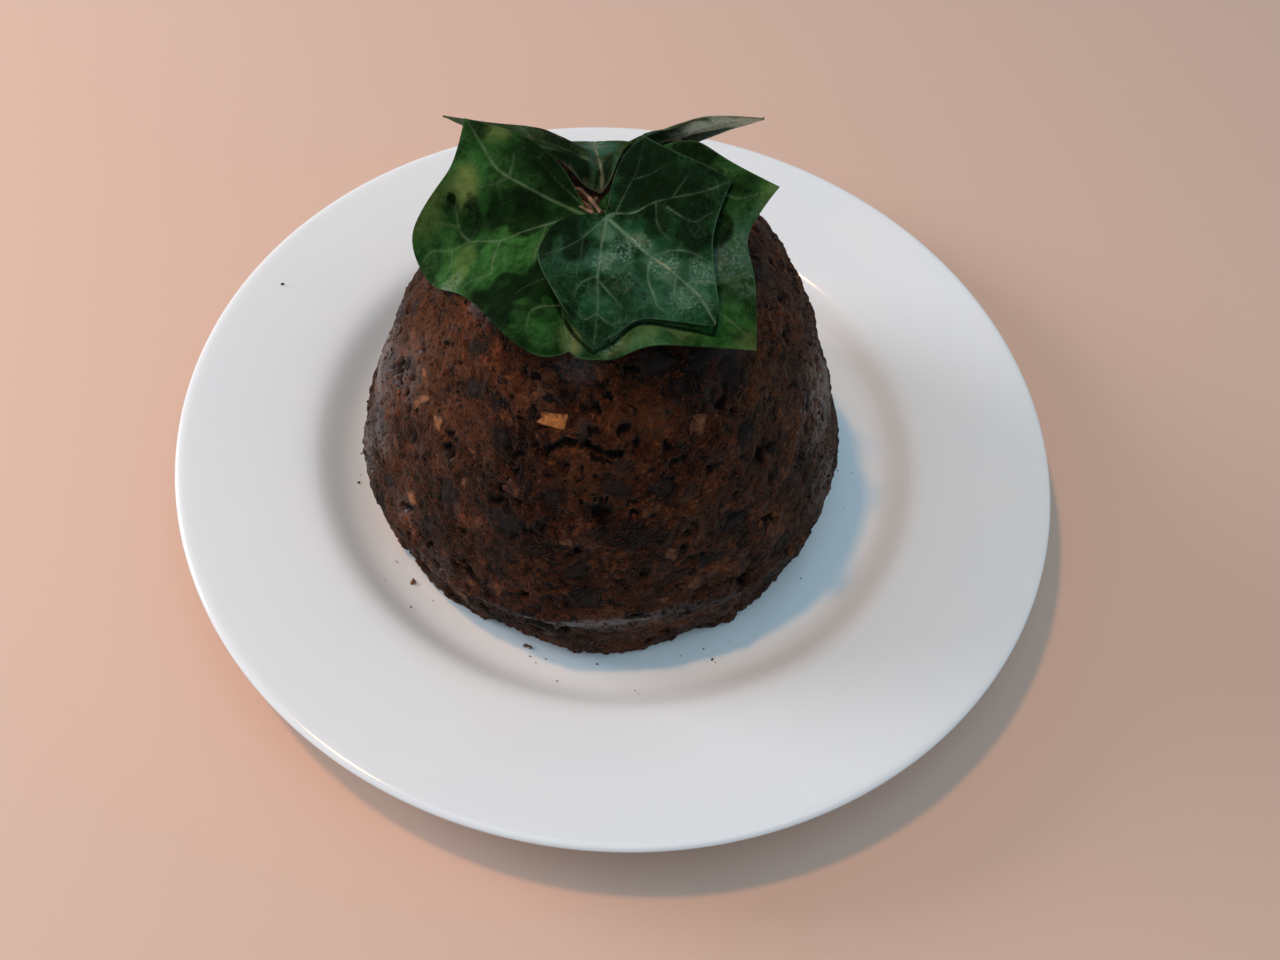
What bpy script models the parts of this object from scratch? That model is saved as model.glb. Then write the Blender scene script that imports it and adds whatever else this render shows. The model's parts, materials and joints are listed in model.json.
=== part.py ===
"""Christmas pudding turned out on a dinner plate, with a sprig of ivy on its crown.

Metres, +Z up. The origin is the middle of the plate's foot, on the table; -Y is the front.
"""

import math
import random

import bmesh
import bpy
from mathutils import Vector

MM = 0.001
GAP = 0.3 * MM                     # air between pieces that touch

# dinner plate
PLATE_RADIUS = 135 * MM
RIM_HEIGHT = 26 * MM
RIM_THICKNESS = 3.4 * MM
RIM_FALL = 4.2 * MM                # how much the broad rim drops towards the well
WELL_RADIUS = 90 * MM              # middle of the step between rim and well
STEP_WIDTH = 14 * MM
FLOOR_HEIGHT = 11.5 * MM           # upper side of the well's floor
FLOOR_THICKNESS = 5.2 * MM
FOOT_RADIUS = 80.2 * MM
FOOT_WIDTH = 3.4 * MM
FOOT_EDGE = 0.8 * MM
PLATE_SIDES = 72

# pudding: its axis, then how wide it is at each height, in millimetres from its base up
PUDDING_X = -5.5 * MM
PUDDING_Y = -5.0 * MM
PUDDING_SIDES = 72
PUDDING_PROFILE = [
    (0, 68.6), (2.5, 69.8), (8, 70.0), (14, 70.4), (17, 71.0), (19.5, 71.8), (22.5, 71.4), (26, 70.2),
    (33, 68.0), (42, 65.2), (52, 62.2), (62, 57.9), (71, 53.6), (79, 49.3), (86, 44.7), (92, 39.6),
    (96.3, 34.0), (99, 26.5), (100, 15.0),
]
FOOT_CHIPS = 1.3 * MM              # how ragged the base edge is
CHIP_HEIGHT = 6 * MM               # and how far up the raggedness reaches
CHIP_WAVES = (9, 14, 23)           # chips round the base
# lumps of its side: waves round it, how much they lean with height, size in millimetres
WAVES = [(5, 3, 0.30), (7, 5, 0.30), (11, 7, 0.26), (16, 11, 0.22)]
WAVE_SEED = 25

# ivy: every leaf's edge goes round its hub as (turn in degrees, reach, rise) in millimetres;
# a lobe's tip is pointed and the rest is a smooth curve
LEAF_THICKNESS = 0.7 * MM
LEAF_RINGS = 5
LEAF_STEPS = 2                     # mesh steps between two edge points
RISE_POWER = 1.3                   # a leaf stays level near its hub and lifts or drops further out
DRAPE_CLEAR = 1.3 * MM             # a leaf's upper side lies at least this far over the pudding
LEAVES = {
    "ivy_leaf_large": {
        "hub": (-13.3, -5.6, 116.0), "arch": 0.7, "closed": False,
        "edge": [
            (122, 2.6, 0.5), (124, 13.8, 3.5), (135, 26.6, 6.5), (149, 40.5, 7.5, "tip"),
            (165, 37.0, 2.5), (173, 40.0, -2.5), (181, 45.5, -13.0), (190, 43.0, -18.5),
            (201, 39.5, -18.0), (214, 35.5, -12.0), (234, 36.5, -6.5), (251, 42.5, -1.5),
            (261, 43.5, -3.5), (267, 41.2, -5.2), (271, 38.8, -5.7, "tip"), (275, 40.6, -5.8),
            (281, 41.2, -5.3), (287, 41.7, -4.5), (296, 41.5, -2.0), (306, 44.3, -1.5),
            (325, 54.4, -5.5, "tip"), (342, 44.7, 0.5), (350, 39.5, 5.5), (358, 41.6, 10.5),
            (363, 45.0, 15.5, "tip"), (379, 34.4, 13.5), (397, 31.5, 11.5), (404, 27.8, 10.5),
            (414, 22.1, 7.5), (422, 9.6, 0.8), (428, 4.0, -0.3),
        ],
    },
    "ivy_leaf_front": {
        "hub": (-8.8, -8.7, 119.5), "arch": 0.8, "closed": False,
        "edge": [
            (185, 6.8, 0.0), (198, 13.1, 0.0), (224, 21.4, -1.0, "tip"), (259, 29.8, -3.2),
            (273, 36.0, -5.6, "tip"), (282, 33.2, -4.6), (292, 30.5, -3.0), (305, 34.2, -2.6),
            (317, 40.2, -3.2, "tip"), (325, 36.2, -2.4), (338, 29.5, 0.2), (354, 26.5, 4.0),
            (374, 30.1, 10.4, "tip"), (389, 25.8, 9.5), (414, 21.8, 8.5), (433, 22.5, 8.0, "tip"),
            (444, 17.0, 5.0), (450, 7.9, 1.5),
        ],
    },
    "ivy_leaf_back": {
        "hub": (-13.0, 14.0, 115.0), "arch": 1.2, "closed": True, "bow": (0.0, 6.0, -2.0),
        "edge": [
            (279, 9.4, -1.0, "tip"), (301, 6.9, 1.0), (18, 5.6, 4.5), (23, 11.5, 8.5), (6, 16.9, 13.5),
            (5, 25.3, 18.5), (357, 39.3, 23.5, "tip"), (6, 35.1, 16.0), (14, 25.1, 6.5),
            (42, 17.5, -3.0), (68, 24.0, -12.0), (94, 29.0, -22.0, "tip"), (118, 26.5, -16.0),
            (140, 21.8, -2.5), (161, 30.7, 0.5), (172, 42.1, 4.5, "tip"), (178, 27.0, 3.0),
            (188, 15.1, 4.5), (216, 8.6, 2.0), (250, 8.8, 0.0),
        ],
    },
}

# ivy stem: a twig that lies on the crown and a stalk to each leaf, in millimetres
TWIG_RADIUS = 1.0 * MM
STALK_RADIUS = 0.75 * MM
STALK_SHORT = 1.4 * MM             # a stalk stops this far short of its leaf
TWIG = [(-30.0, 1.0, 113.4), (-22.0, 2.0, 113.2), (-14.0, 0.5, 113.2), (-12.4, -2.4, 113.2)]
STALKS = {
    "front": [(-21.0, 2.0, 113.2), (-18.6, 4.6, 114.4), (-15.0, 1.0, 116.6), (-9.4, -7.8, 118.9)],
    "large": [(-12.8, -1.6, 113.2), (-12.9, -4.4, 113.4), (-13.3, -5.6, 116.0)],
    "back": [(-14.0, 0.5, 113.2), (-12.4, 3.2, 113.7), (-11.5, 4.7, 114.0)],
}


def clear_scene():
    for old in list(bpy.data.objects):
        bpy.data.objects.remove(old, do_unlink=True)


def principled(name, colour, roughness):
    material = bpy.data.materials.new(name)
    material.use_nodes = True
    shader = material.node_tree.nodes["Principled BSDF"]
    shader.inputs["Base Color"].default_value = (*colour, 1.0)
    shader.inputs["Roughness"].default_value = roughness
    shader.inputs["Metallic"].default_value = 0.0
    return material


def add_object(name, mesh, material):
    obj = bpy.data.objects.new(name, mesh)
    bpy.context.scene.collection.objects.link(obj)
    mesh.materials.append(material)
    return obj


def turned(name, profile, sides, material, smooth_angle=40):
    """Spin an (r, z) outline, which starts and ends on the axis, into a closed solid."""
    bm = bmesh.new()
    verts = [bm.verts.new((r, 0.0, z)) for r, z in profile]
    for low, high in zip(verts[:-1], verts[1:]):
        bm.edges.new((low, high))
    bmesh.ops.spin(bm, geom=bm.verts[:] + bm.edges[:], cent=(0, 0, 0), axis=(0, 0, 1),
                   angle=math.tau, steps=sides, use_merge=True, use_duplicate=False)
    bmesh.ops.remove_doubles(bm, verts=bm.verts, dist=1e-6)
    bmesh.ops.recalc_face_normals(bm, faces=bm.faces)
    mesh = bpy.data.meshes.new(name)
    bm.to_mesh(mesh)
    bm.free()
    mesh.shade_smooth()
    mesh.set_sharp_from_angle(angle=math.radians(smooth_angle))
    return add_object(name, mesh, material)


def plate_profile():
    """Outline of the plate: up the middle, out along the top, back along the underside."""
    under = FLOOR_HEIGHT - FLOOR_THICKNESS
    foot_out = FOOT_RADIUS + FOOT_WIDTH / 2
    foot_in = FOOT_RADIUS - FOOT_WIDTH / 2
    bevel = FOOT_EDGE * 0.6
    step_in = WELL_RADIUS - STEP_WIDTH / 2
    step_out = WELL_RADIUS + STEP_WIDTH / 2
    shoulder = RIM_HEIGHT - RIM_FALL - 1.2 * MM      # where the step becomes the broad rim
    middle = (FLOOR_HEIGHT + shoulder) / 2 + 0.4 * MM
    bend = PLATE_RADIUS - 14 * MM                    # the rim flattens out from here
    top = [
        (0.0, FLOOR_HEIGHT),
        (step_in - 3 * MM, FLOOR_HEIGHT),
        (step_in + 1 * MM, FLOOR_HEIGHT + 0.7 * MM),
        (WELL_RADIUS - 2.8 * MM, middle - 2.6 * MM),
        (WELL_RADIUS, middle),
        (WELL_RADIUS + 2.6 * MM, middle + 2.4 * MM),
        (step_out - 1 * MM, shoulder),
        (step_out + 6 * MM, shoulder + 1.2 * MM),
        (bend, RIM_HEIGHT - 1.6 * MM),
        (PLATE_RADIUS - 4 * MM, RIM_HEIGHT - 0.2 * MM),
        (PLATE_RADIUS - 1.6 * MM, RIM_HEIGHT),
        (PLATE_RADIUS - 0.3 * MM, RIM_HEIGHT - 0.6 * MM),
        (PLATE_RADIUS, RIM_HEIGHT - 1.5 * MM),
    ]
    underside = [
        (PLATE_RADIUS - 1.2 * MM, RIM_HEIGHT - 2.7 * MM),
        (bend, RIM_HEIGHT - 1.6 * MM - RIM_THICKNESS),
        (step_out + 4 * MM, shoulder - 0.4 * MM - RIM_THICKNESS),
        (WELL_RADIUS + 3.4 * MM, middle - 3.6 * MM),
        (WELL_RADIUS - 2.6 * MM, under + 1.0 * MM),
        (foot_out + 0.9 * MM, under - 1.6 * MM),
        (foot_out, FOOT_EDGE),
        (foot_out - bevel, 0.0),
        (foot_in + bevel, 0.0),
        (foot_in, FOOT_EDGE),
        (foot_in - 1.6 * MM, under - 0.6 * MM),
        (foot_in - 5 * MM, under),
        (0.0, under),
    ]
    return top + underside


def pudding_lump(turn, height):
    """How far the pudding's side stands out at this turn and height over its base, in metres."""
    rng = random.Random(WAVE_SEED)
    share = height / (PUDDING_PROFILE[-1][0] * MM)
    lump = 0.0
    for around, upward, size in WAVES:
        lump += size * MM * math.sin(around * turn + upward * share + rng.uniform(0, math.tau))
    chip = 0.0
    for around in CHIP_WAVES:
        chip += math.sin(around * turn + rng.uniform(0, math.tau)) / len(CHIP_WAVES)
    calm = 1.0 - 0.7 * max(0.0, share - 0.6) / 0.4
    foot = FOOT_CHIPS * chip * max(0.0, 1.0 - height / CHIP_HEIGHT)
    return lump * calm - foot


def pudding_top(x, y):
    """Height above the table of the pudding's surface over the point (x, y)."""
    base = FLOOR_HEIGHT + GAP
    away = math.hypot(x - PUDDING_X, y - PUDDING_Y)
    turn = math.atan2(y - PUDDING_Y, x - PUDDING_X)
    rows = [(h * MM, r * MM + pudding_lump(turn, h * MM)) for h, r in reversed(PUDDING_PROFILE)]
    if away <= rows[0][1]:
        return base + rows[0][0]
    for (high, narrow), (low, wide) in zip(rows[:-1], rows[1:]):
        if narrow < away <= wide:
            return base + high - (high - low) * (away - narrow) / (wide - narrow)
    return FLOOR_HEIGHT


def build_pudding(material):
    """A basin-moulded dome with a lip, a drawn-in foot and an uneven, lumpy side."""
    profile = [(0.0, 0.0)] + [(r * MM, h * MM) for h, r in PUDDING_PROFILE]
    profile.append((0.0, PUDDING_PROFILE[-1][0] * MM))
    pudding = turned("pudding", profile, PUDDING_SIDES, material, smooth_angle=60)
    for vert in pudding.data.vertices:
        x, y, z = vert.co
        away = math.hypot(x, y)
        if away > MM:
            grow = 1.0 + pudding_lump(math.atan2(y, x), z) / away
            x *= grow
            y *= grow
        vert.co = (x + PUDDING_X, y + PUDDING_Y, z + FLOOR_HEIGHT + GAP)
    return pudding


def edge_points(leaf):
    """The leaf's edge in space: smooth between its pointed tips, which stay corners."""
    hub = Vector(leaf["hub"])
    knots = []
    for turn, reach, rise, *kind in leaf["edge"]:
        out = Vector((math.cos(math.radians(turn)), math.sin(math.radians(turn)), 0.0)) * reach
        knots.append((hub + out + Vector((0, 0, rise)), bool(kind)))
    if leaf["closed"]:
        knots.append(knots[0])
    line = []
    for i in range(len(knots) - 1):
        here, tip_here = knots[i]
        there, tip_there = knots[i + 1]
        before = here if tip_here or i == 0 else knots[i - 1][0]
        after = there if tip_there or i + 2 >= len(knots) else knots[i + 2][0]
        for step in range(LEAF_STEPS):
            t = step / LEAF_STEPS
            a = here
            b = (there - before) / 2
            c = before - here * 2.5 + there * 2 - after / 2
            d = (after - before) / 2 + (here - there) * 1.5
            line.append(a + b * t + c * t * t + d * t * t * t)
    if not leaf["closed"]:
        line.append(knots[-1][0])
    return [point * MM for point in line]


def drape(place):
    """Lift a point of a leaf's upper side clear of the pudding, as measured square to its surface."""
    away = Vector((place.x - PUDDING_X, place.y - PUDDING_Y, 0.0))
    inward = place - away.normalized() * DRAPE_CLEAR
    place.z = max(place.z, pudding_top(inward.x, inward.y) + DRAPE_CLEAR)
    return place


def build_leaf(name, leaf, material):
    """A thin curved blade that fans out from its hub to its edge and drapes over the pudding."""
    hub = Vector(leaf["hub"]) * MM
    edge = edge_points(leaf)
    bm = bmesh.new()
    middle = bm.verts.new(hub)
    reach = max(point.x for point in edge) - hub.x
    bow = Vector(leaf.get("bow", (0.0, 0.0, 0.0))) * MM
    rays = []
    for point in edge:
        ray = [middle]
        for ring in range(1, LEAF_RINGS + 1):
            part = ring / LEAF_RINGS
            swell = 4 * part * (1 - part)
            place = hub.lerp(point, part)
            place.z = hub.z + (point.z - hub.z) * part ** RISE_POWER
            place += bow * swell * max(0.0, (point.x - hub.x) / reach)
            place.z += leaf["arch"] * MM * swell
            ray.append(bm.verts.new(drape(place)))
        rays.append(ray)
    pairs = list(zip(rays[:-1], rays[1:]))
    if leaf["closed"]:
        pairs.append((rays[-1], rays[0]))
    for one, two in pairs:
        bm.faces.new((middle, one[1], two[1]))
        for ring in range(1, LEAF_RINGS):
            bm.faces.new((one[ring], one[ring + 1], two[ring + 1], two[ring]))
    bmesh.ops.triangulate(bm, faces=bm.faces)
    mesh = bpy.data.meshes.new(name)
    bm.to_mesh(mesh)
    bm.free()
    mesh.shade_smooth()
    obj = add_object(name, mesh, material)
    blade = obj.modifiers.new("blade", "SOLIDIFY")
    blade.thickness = LEAF_THICKNESS
    blade.offset = -1.0
    return obj


def tube(name, points, radius, material):
    """A round stalk along a smooth line through the points, as a closed mesh."""
    curve = bpy.data.curves.new(name, "CURVE")
    curve.dimensions = "3D"
    curve.bevel_depth = radius
    curve.bevel_resolution = 1
    curve.resolution_u = 4
    curve.use_fill_caps = True
    spline = curve.splines.new("BEZIER")
    spline.bezier_points.add(len(points) - 1)
    for knot, place in zip(spline.bezier_points, points):
        knot.co = Vector(place) * MM
        knot.handle_left_type = "AUTO"
        knot.handle_right_type = "AUTO"
    guide = bpy.data.objects.new(name, curve)
    bpy.context.scene.collection.objects.link(guide)
    depsgraph = bpy.context.evaluated_depsgraph_get()
    mesh = bpy.data.meshes.new_from_object(guide.evaluated_get(depsgraph))
    bpy.data.objects.remove(guide, do_unlink=True)
    bm = bmesh.new()
    bm.from_mesh(mesh)
    bmesh.ops.remove_doubles(bm, verts=bm.verts, dist=1e-6)
    bmesh.ops.recalc_face_normals(bm, faces=bm.faces)
    bm.to_mesh(mesh)
    bm.free()
    mesh.shade_smooth()
    return add_object(name, mesh, material)


def build_stem(material):
    """One twig with its stalks joined on."""
    stem = tube("ivy_stem", TWIG, TWIG_RADIUS, material)
    for name, points in STALKS.items():
        last = Vector(points[-1])
        short = (Vector(points[-2]) - last).normalized() * (STALK_SHORT / MM)
        stalk = tube("stalk_" + name, points[:-1] + [tuple(last + short)], STALK_RADIUS, material)
        stalk.hide_render = True
        stalk.display_type = "WIRE"
        join = stem.modifiers.new("join_" + name, "BOOLEAN")
        join.operation = "UNION"
        join.object = stalk
    return stem


def main():
    clear_scene()
    porcelain = principled("porcelain", (0.78, 0.79, 0.80), 0.12)
    crumb = principled("pudding_crumb", (0.055, 0.022, 0.012), 0.55)
    leaf_green = principled("leaf_green", (0.03, 0.12, 0.035), 0.35)
    bark = principled("stem_bark", (0.36, 0.19, 0.12), 0.6)
    turned("plate", plate_profile(), PLATE_SIDES, porcelain)
    build_pudding(crumb)
    for name, leaf in LEAVES.items():
        build_leaf(name, leaf, leaf_green)
    build_stem(bark)


main()
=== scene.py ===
# Christmas pudding turned out on a dinner plate, with a sprig of ivy on its crown
import json
import math
import random

import bmesh
import bpy
from mathutils import Matrix, Vector, noise
from mathutils.bvhtree import BVHTree
from mathutils.kdtree import KDTree

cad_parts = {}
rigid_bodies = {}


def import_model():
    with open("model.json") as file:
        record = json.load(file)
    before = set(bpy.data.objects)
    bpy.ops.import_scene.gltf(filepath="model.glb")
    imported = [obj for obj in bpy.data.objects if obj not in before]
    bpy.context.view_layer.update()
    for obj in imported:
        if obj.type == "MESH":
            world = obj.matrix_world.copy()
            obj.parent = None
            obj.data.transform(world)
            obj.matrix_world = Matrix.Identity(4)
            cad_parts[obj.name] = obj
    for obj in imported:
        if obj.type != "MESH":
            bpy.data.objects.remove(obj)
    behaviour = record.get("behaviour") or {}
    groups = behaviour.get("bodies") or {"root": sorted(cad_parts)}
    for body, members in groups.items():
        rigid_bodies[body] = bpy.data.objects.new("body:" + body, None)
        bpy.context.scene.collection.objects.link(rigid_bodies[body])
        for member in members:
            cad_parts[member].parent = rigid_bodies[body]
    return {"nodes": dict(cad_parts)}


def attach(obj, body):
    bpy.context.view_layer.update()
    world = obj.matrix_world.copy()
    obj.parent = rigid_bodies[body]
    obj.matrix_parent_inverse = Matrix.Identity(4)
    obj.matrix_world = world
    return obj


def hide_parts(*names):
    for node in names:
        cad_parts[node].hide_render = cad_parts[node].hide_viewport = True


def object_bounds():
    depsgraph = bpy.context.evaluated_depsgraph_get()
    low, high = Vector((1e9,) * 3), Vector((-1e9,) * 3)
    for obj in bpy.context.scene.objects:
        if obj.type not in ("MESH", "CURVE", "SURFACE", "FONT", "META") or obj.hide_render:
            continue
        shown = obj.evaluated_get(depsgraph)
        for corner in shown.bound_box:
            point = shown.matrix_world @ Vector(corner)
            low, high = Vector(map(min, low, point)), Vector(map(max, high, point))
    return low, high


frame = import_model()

mm = 0.001
cadLow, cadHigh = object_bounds()
for leftover in [thing for thing in bpy.data.objects if thing.name in ("Cube", "Light", "Camera")]:
    bpy.data.objects.remove(leftover)
print("frame loaded:", ", ".join(sorted(frame["nodes"])))


# small helpers for objects

def pick(piece):
    # only this piece is selected and active
    if bpy.context.object and bpy.context.object.mode != "OBJECT":
        bpy.ops.object.mode_set(mode="OBJECT")
    bpy.ops.object.select_all(action="DESELECT")
    piece.select_set(True)
    bpy.context.view_layer.objects.active = piece


def newObject(name, data):
    made = bpy.data.objects.new(name, data)
    bpy.context.scene.collection.objects.link(made)
    return made


def applyModifier(piece, kind, **settings):
    pick(piece)
    change = piece.modifiers.new(kind.lower(), kind)
    for key, value in settings.items():
        setattr(change, key, value)
    bpy.ops.object.modifier_apply(modifier=change.name)


def editWhole(piece, operator, **settings):
    # one mesh operator works on all of the piece
    pick(piece)
    bpy.ops.object.mode_set(mode="EDIT")
    bpy.ops.mesh.select_all(action="SELECT")
    operator(**settings)
    bpy.ops.object.mode_set(mode="OBJECT")


def copyOfNode(nodeName, pieceName):
    # a merged copy of a frame node, which can then be reshaped
    mesh = frame["nodes"][nodeName].data.copy()
    mesh.name = pieceName
    mesh.materials.clear()
    piece = newObject(pieceName, mesh)
    pick(piece)
    bpy.ops.mesh.customdata_custom_splitnormals_clear()
    editWhole(piece, bpy.ops.mesh.remove_doubles, threshold=0.005 * mm)
    return piece


def quadsFromTriangles(piece, flat=40, square=70):
    editWhole(piece, bpy.ops.mesh.tris_convert_to_quads,
              face_threshold=math.radians(flat), shape_threshold=math.radians(square))


def keepPlace(piece):
    # the object goes to the origin and its place goes into its mesh
    pick(piece)
    bpy.ops.object.transform_apply(location=True, rotation=True, scale=True)


def joinAll(pieces, name):
    pick(pieces[0])
    for piece in pieces[1:]:
        piece.select_set(True)
    bpy.ops.object.join()
    joined = bpy.context.object
    joined.name = name
    joined.data.name = name
    keepPlace(joined)
    return joined


def paintValues(piece, name, values):
    layer = piece.data.attributes.new(name, "FLOAT", "POINT")
    layer.data.foreach_set("value", values)


def smoothShade(piece, angle=None):
    pick(piece)
    if angle is None:
        bpy.ops.object.shade_smooth()
    else:
        bpy.ops.object.shade_smooth_by_angle(angle=math.radians(angle))


def dress(piece, material, slotName, *nodes):
    # gives a piece its material and ties it to the frame
    piece.data.materials.clear()
    piece.data.materials.append(material)
    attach(piece, "root")
    if nodes:
        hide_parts(*nodes)


def easeBetween(low, high, value):
    share = min(1.0, max(0.0, (value - low) / (high - low)))
    return share * share * (3 - 2 * share)


# small helpers for materials

def newMaterial(name):
    material = bpy.data.materials.new(name)
    material.use_nodes = True
    tree = material.node_tree
    return material, tree, tree.nodes["Principled BSDF"]


def feed(tree, values, node):
    # each socket gets a link or a plain value
    for key, value in values.items():
        if isinstance(value, bpy.types.NodeSocket):
            tree.links.new(value, node.inputs[key])
        else:
            node.inputs[key].default_value = value


def addNode(tree, kind, values, **settings):
    made = tree.nodes.new("ShaderNode" + kind)
    for key, value in settings.items():
        setattr(made, key, value)
    feed(tree, values, made)
    return made


def objectPlace(tree):
    return addNode(tree, "TexCoord", {}).outputs["Object"]


def readValue(tree, name):
    return addNode(tree, "Attribute", {}, attribute_name=name, attribute_type="GEOMETRY").outputs["Fac"]


def mixColour(tree, factor, first, second):
    return addNode(tree, "Mix", {0: factor, 6: first, 7: second}, data_type="RGBA").outputs[2]


def doMath(tree, operation, first, second=0.0):
    return addNode(tree, "Math", {0: first, 1: second}, operation=operation).outputs[0]


def times(tree, first, second):
    return doMath(tree, "MULTIPLY", first, second)


def plus(tree, first, second):
    return doMath(tree, "ADD", first, second)


def minus(tree, first, second):
    return doMath(tree, "SUBTRACT", first, second)


def larger(tree, first, second):
    return doMath(tree, "MAXIMUM", first, second)


def smaller(tree, first, second):
    return doMath(tree, "MINIMUM", first, second)


def remap(tree, value, low, high, toLow=0.0, toHigh=1.0):
    limits = {0: value, 1: low, 2: high, 3: toLow, 4: toHigh}
    return addNode(tree, "MapRange", limits, interpolation_type="SMOOTHSTEP").outputs[0]


def noiseAt(tree, place, scale, detail=3.0, rough=0.5, swirl=0.0):
    look = {"Vector": place, "Scale": scale, "Detail": detail, "Roughness": rough, "Distortion": swirl}
    return addNode(tree, "TexNoise", look).outputs["Fac"]


def cellsAt(tree, place, scale, feature="F1"):
    return addNode(tree, "TexVoronoi", {"Vector": place, "Scale": scale}, feature=feature).outputs


def swayed(tree, place, scale, reach):
    # the place, moved about by noise so that drawn lines are not straight
    twist = addNode(tree, "TexNoise", {"Vector": place, "Scale": scale, "Detail": 3.0}).outputs["Color"]
    sums = {0: twist, 1: (reach, reach, reach), 2: place}
    return addNode(tree, "VectorMath", sums, operation="MULTIPLY_ADD").outputs[0]


def bumpFrom(tree, height, distance, strength=1.0):
    look = {"Height": height, "Distance": distance, "Strength": strength}
    return addNode(tree, "Bump", look).outputs["Normal"]


def newGroup(name, inputs, outputs):
    group = bpy.data.node_groups.new(name, "ShaderNodeTree")
    for way, sockets in (("INPUT", inputs), ("OUTPUT", outputs)):
        for label, kind in sockets.items():
            group.interface.new_socket(name=label, in_out=way, socket_type="NodeSocket" + kind)
    return group, group.nodes.new("NodeGroupInput").outputs, group.nodes.new("NodeGroupOutput")


# floor, light and camera

studio = {
    "floorSize": 6.0, "floorRough": 0.6,
    "floorColour": (0.68, 0.46, 0.36, 1), "floorShade": (0.6596, 0.4462, 0.3492, 1),
    "airColour": (0.61, 0.85, 1.0, 1), "airStrength": 0.475,
    # place, size, colour and power of each lamp
    "lamps": {
        "warmLamp": ((-0.41, 0.03, 1.13), 0.085, (1.0, 0.50, 0.19), 4.75),
        "overheadLight": ((0.16, -0.32, 1.40), 1.20, (0.66, 0.86, 1.0), 4.3),
        "windowLight": ((-1.15, 0.15, 0.50), 0.60, (0.96, 0.95, 1.0), 9.6),
    },
    "lampsAimAt": (0.0, 0.0, 0.06),
    # where the camera stands, how far it looks down and leans in degrees, and its lens in mm
    "eye": (0.0078, -0.22526, 0.33378), "lookDown": 56.56, "roll": 7.47, "lens": 34.31,
}


def softLamp(name, place, size, colour, power):
    bpy.ops.object.light_add(type="AREA", location=place)
    lamp = bpy.context.object
    lamp.name = name
    lamp.data.shape = "DISK"
    lamp.data.size = size
    lamp.data.color = colour
    lamp.data.energy = power
    lamp.rotation_mode = "QUATERNION"
    lamp.rotation_quaternion = (Vector(studio["lampsAimAt"]) - lamp.location).to_track_quat("-Z", "Y")


def buildStudio():
    bpy.ops.mesh.primitive_plane_add(size=studio["floorSize"])
    floor = bpy.context.object
    floor.name = "studio_floor"
    material, tree, shader = newMaterial("floor_paint")
    cloud = noiseAt(tree, objectPlace(tree), 3.0, 4.0)
    colour = mixColour(tree, cloud, studio["floorColour"], studio["floorShade"])
    feed(tree, {"Base Color": colour, "Roughness": studio["floorRough"]}, shader)
    floor.data.materials.append(material)
    for name, settings in studio["lamps"].items():
        softLamp(name, *settings)
    world = bpy.data.worlds.new("studio_air")
    bpy.context.scene.world = world
    world.use_nodes = True
    air = {"Color": studio["airColour"], "Strength": studio["airStrength"]}
    feed(world.node_tree, air, world.node_tree.nodes["Background"])
    bpy.context.scene.view_settings.view_transform = "Standard"


def buildCamera():
    down = math.radians(studio["lookDown"])
    roll = math.radians(studio["roll"])
    back = Vector((0.0, -math.cos(down), math.sin(down)))
    side = Vector((1.0, 0.0, 0.0))
    up = back.cross(side)
    across = side * math.cos(roll) + up * math.sin(roll)
    upward = up * math.cos(roll) - side * math.sin(roll)
    data = bpy.data.cameras.new("camera")
    data.lens = studio["lens"]
    data.sensor_width = 36.0
    data.clip_start = 0.01
    camera = newObject("camera", data)
    turn = Matrix((across, upward, back)).transposed().to_4x4()
    camera.matrix_world = Matrix.Translation(studio["eye"]) @ turn
    bpy.context.scene.camera = camera


buildStudio()
buildCamera()
print("floor, lamps and camera are in place")


# plate

plate = {
    "glaze": (0.79, 0.80, 0.81, 1), "coolGlaze": (0.7663, 0.788, 0.81, 1), "ironSpeck": (0.35, 0.28, 0.22, 1),
    "biscuit": (0.62, 0.58, 0.52, 1), "paleBiscuit": (0.72, 0.69, 0.64, 1),
    "footHeight": 0.7,             # mm of bare clay at the foot
    "gloss": (0.08, 0.15),         # how rough the glaze is at least and at most
    "clayRough": 0.75,
    "sway": 0.10,                  # mm that the hand-thrown rim may be out of true
}


def glazeMaterial():
    material, tree, shader = newMaterial("porcelain_glaze")
    place = objectPlace(tree)
    cloud = noiseAt(tree, place, 22.0, 4.0)
    glaze = mixColour(tree, remap(tree, cloud, 0.3, 0.7), plate["glaze"], plate["coolGlaze"])
    # a few pinholes and iron specks in the glaze
    speck = cellsAt(tree, place, 150.0)
    rare = remap(tree, speck["Color"], 0.975, 0.99)
    spot = times(tree, remap(tree, speck["Distance"], 0.07, 0.02), rare)
    glaze = mixColour(tree, times(tree, spot, 0.45), glaze, plate["ironSpeck"])
    height = addNode(tree, "SeparateXYZ", {0: place}).outputs["Z"]
    bare = remap(tree, height, plate["footHeight"] * mm, plate["footHeight"] * 0.6 * mm)
    clay = mixColour(tree, noiseAt(tree, place, 900.0, 3.0), plate["biscuit"], plate["paleBiscuit"])
    gloss = remap(tree, noiseAt(tree, place, 60.0, 3.0), 0.2, 0.8, *plate["gloss"])
    ripple = noiseAt(tree, place, 45.0, 2.0)
    feed(tree, {"Base Color": mixColour(tree, bare, glaze, clay),
                "Roughness": larger(tree, gloss, times(tree, bare, plate["clayRough"])),
                "Normal": bumpFrom(tree, ripple, 0.12 * mm, 0.5)}, shader)
    return material


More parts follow.
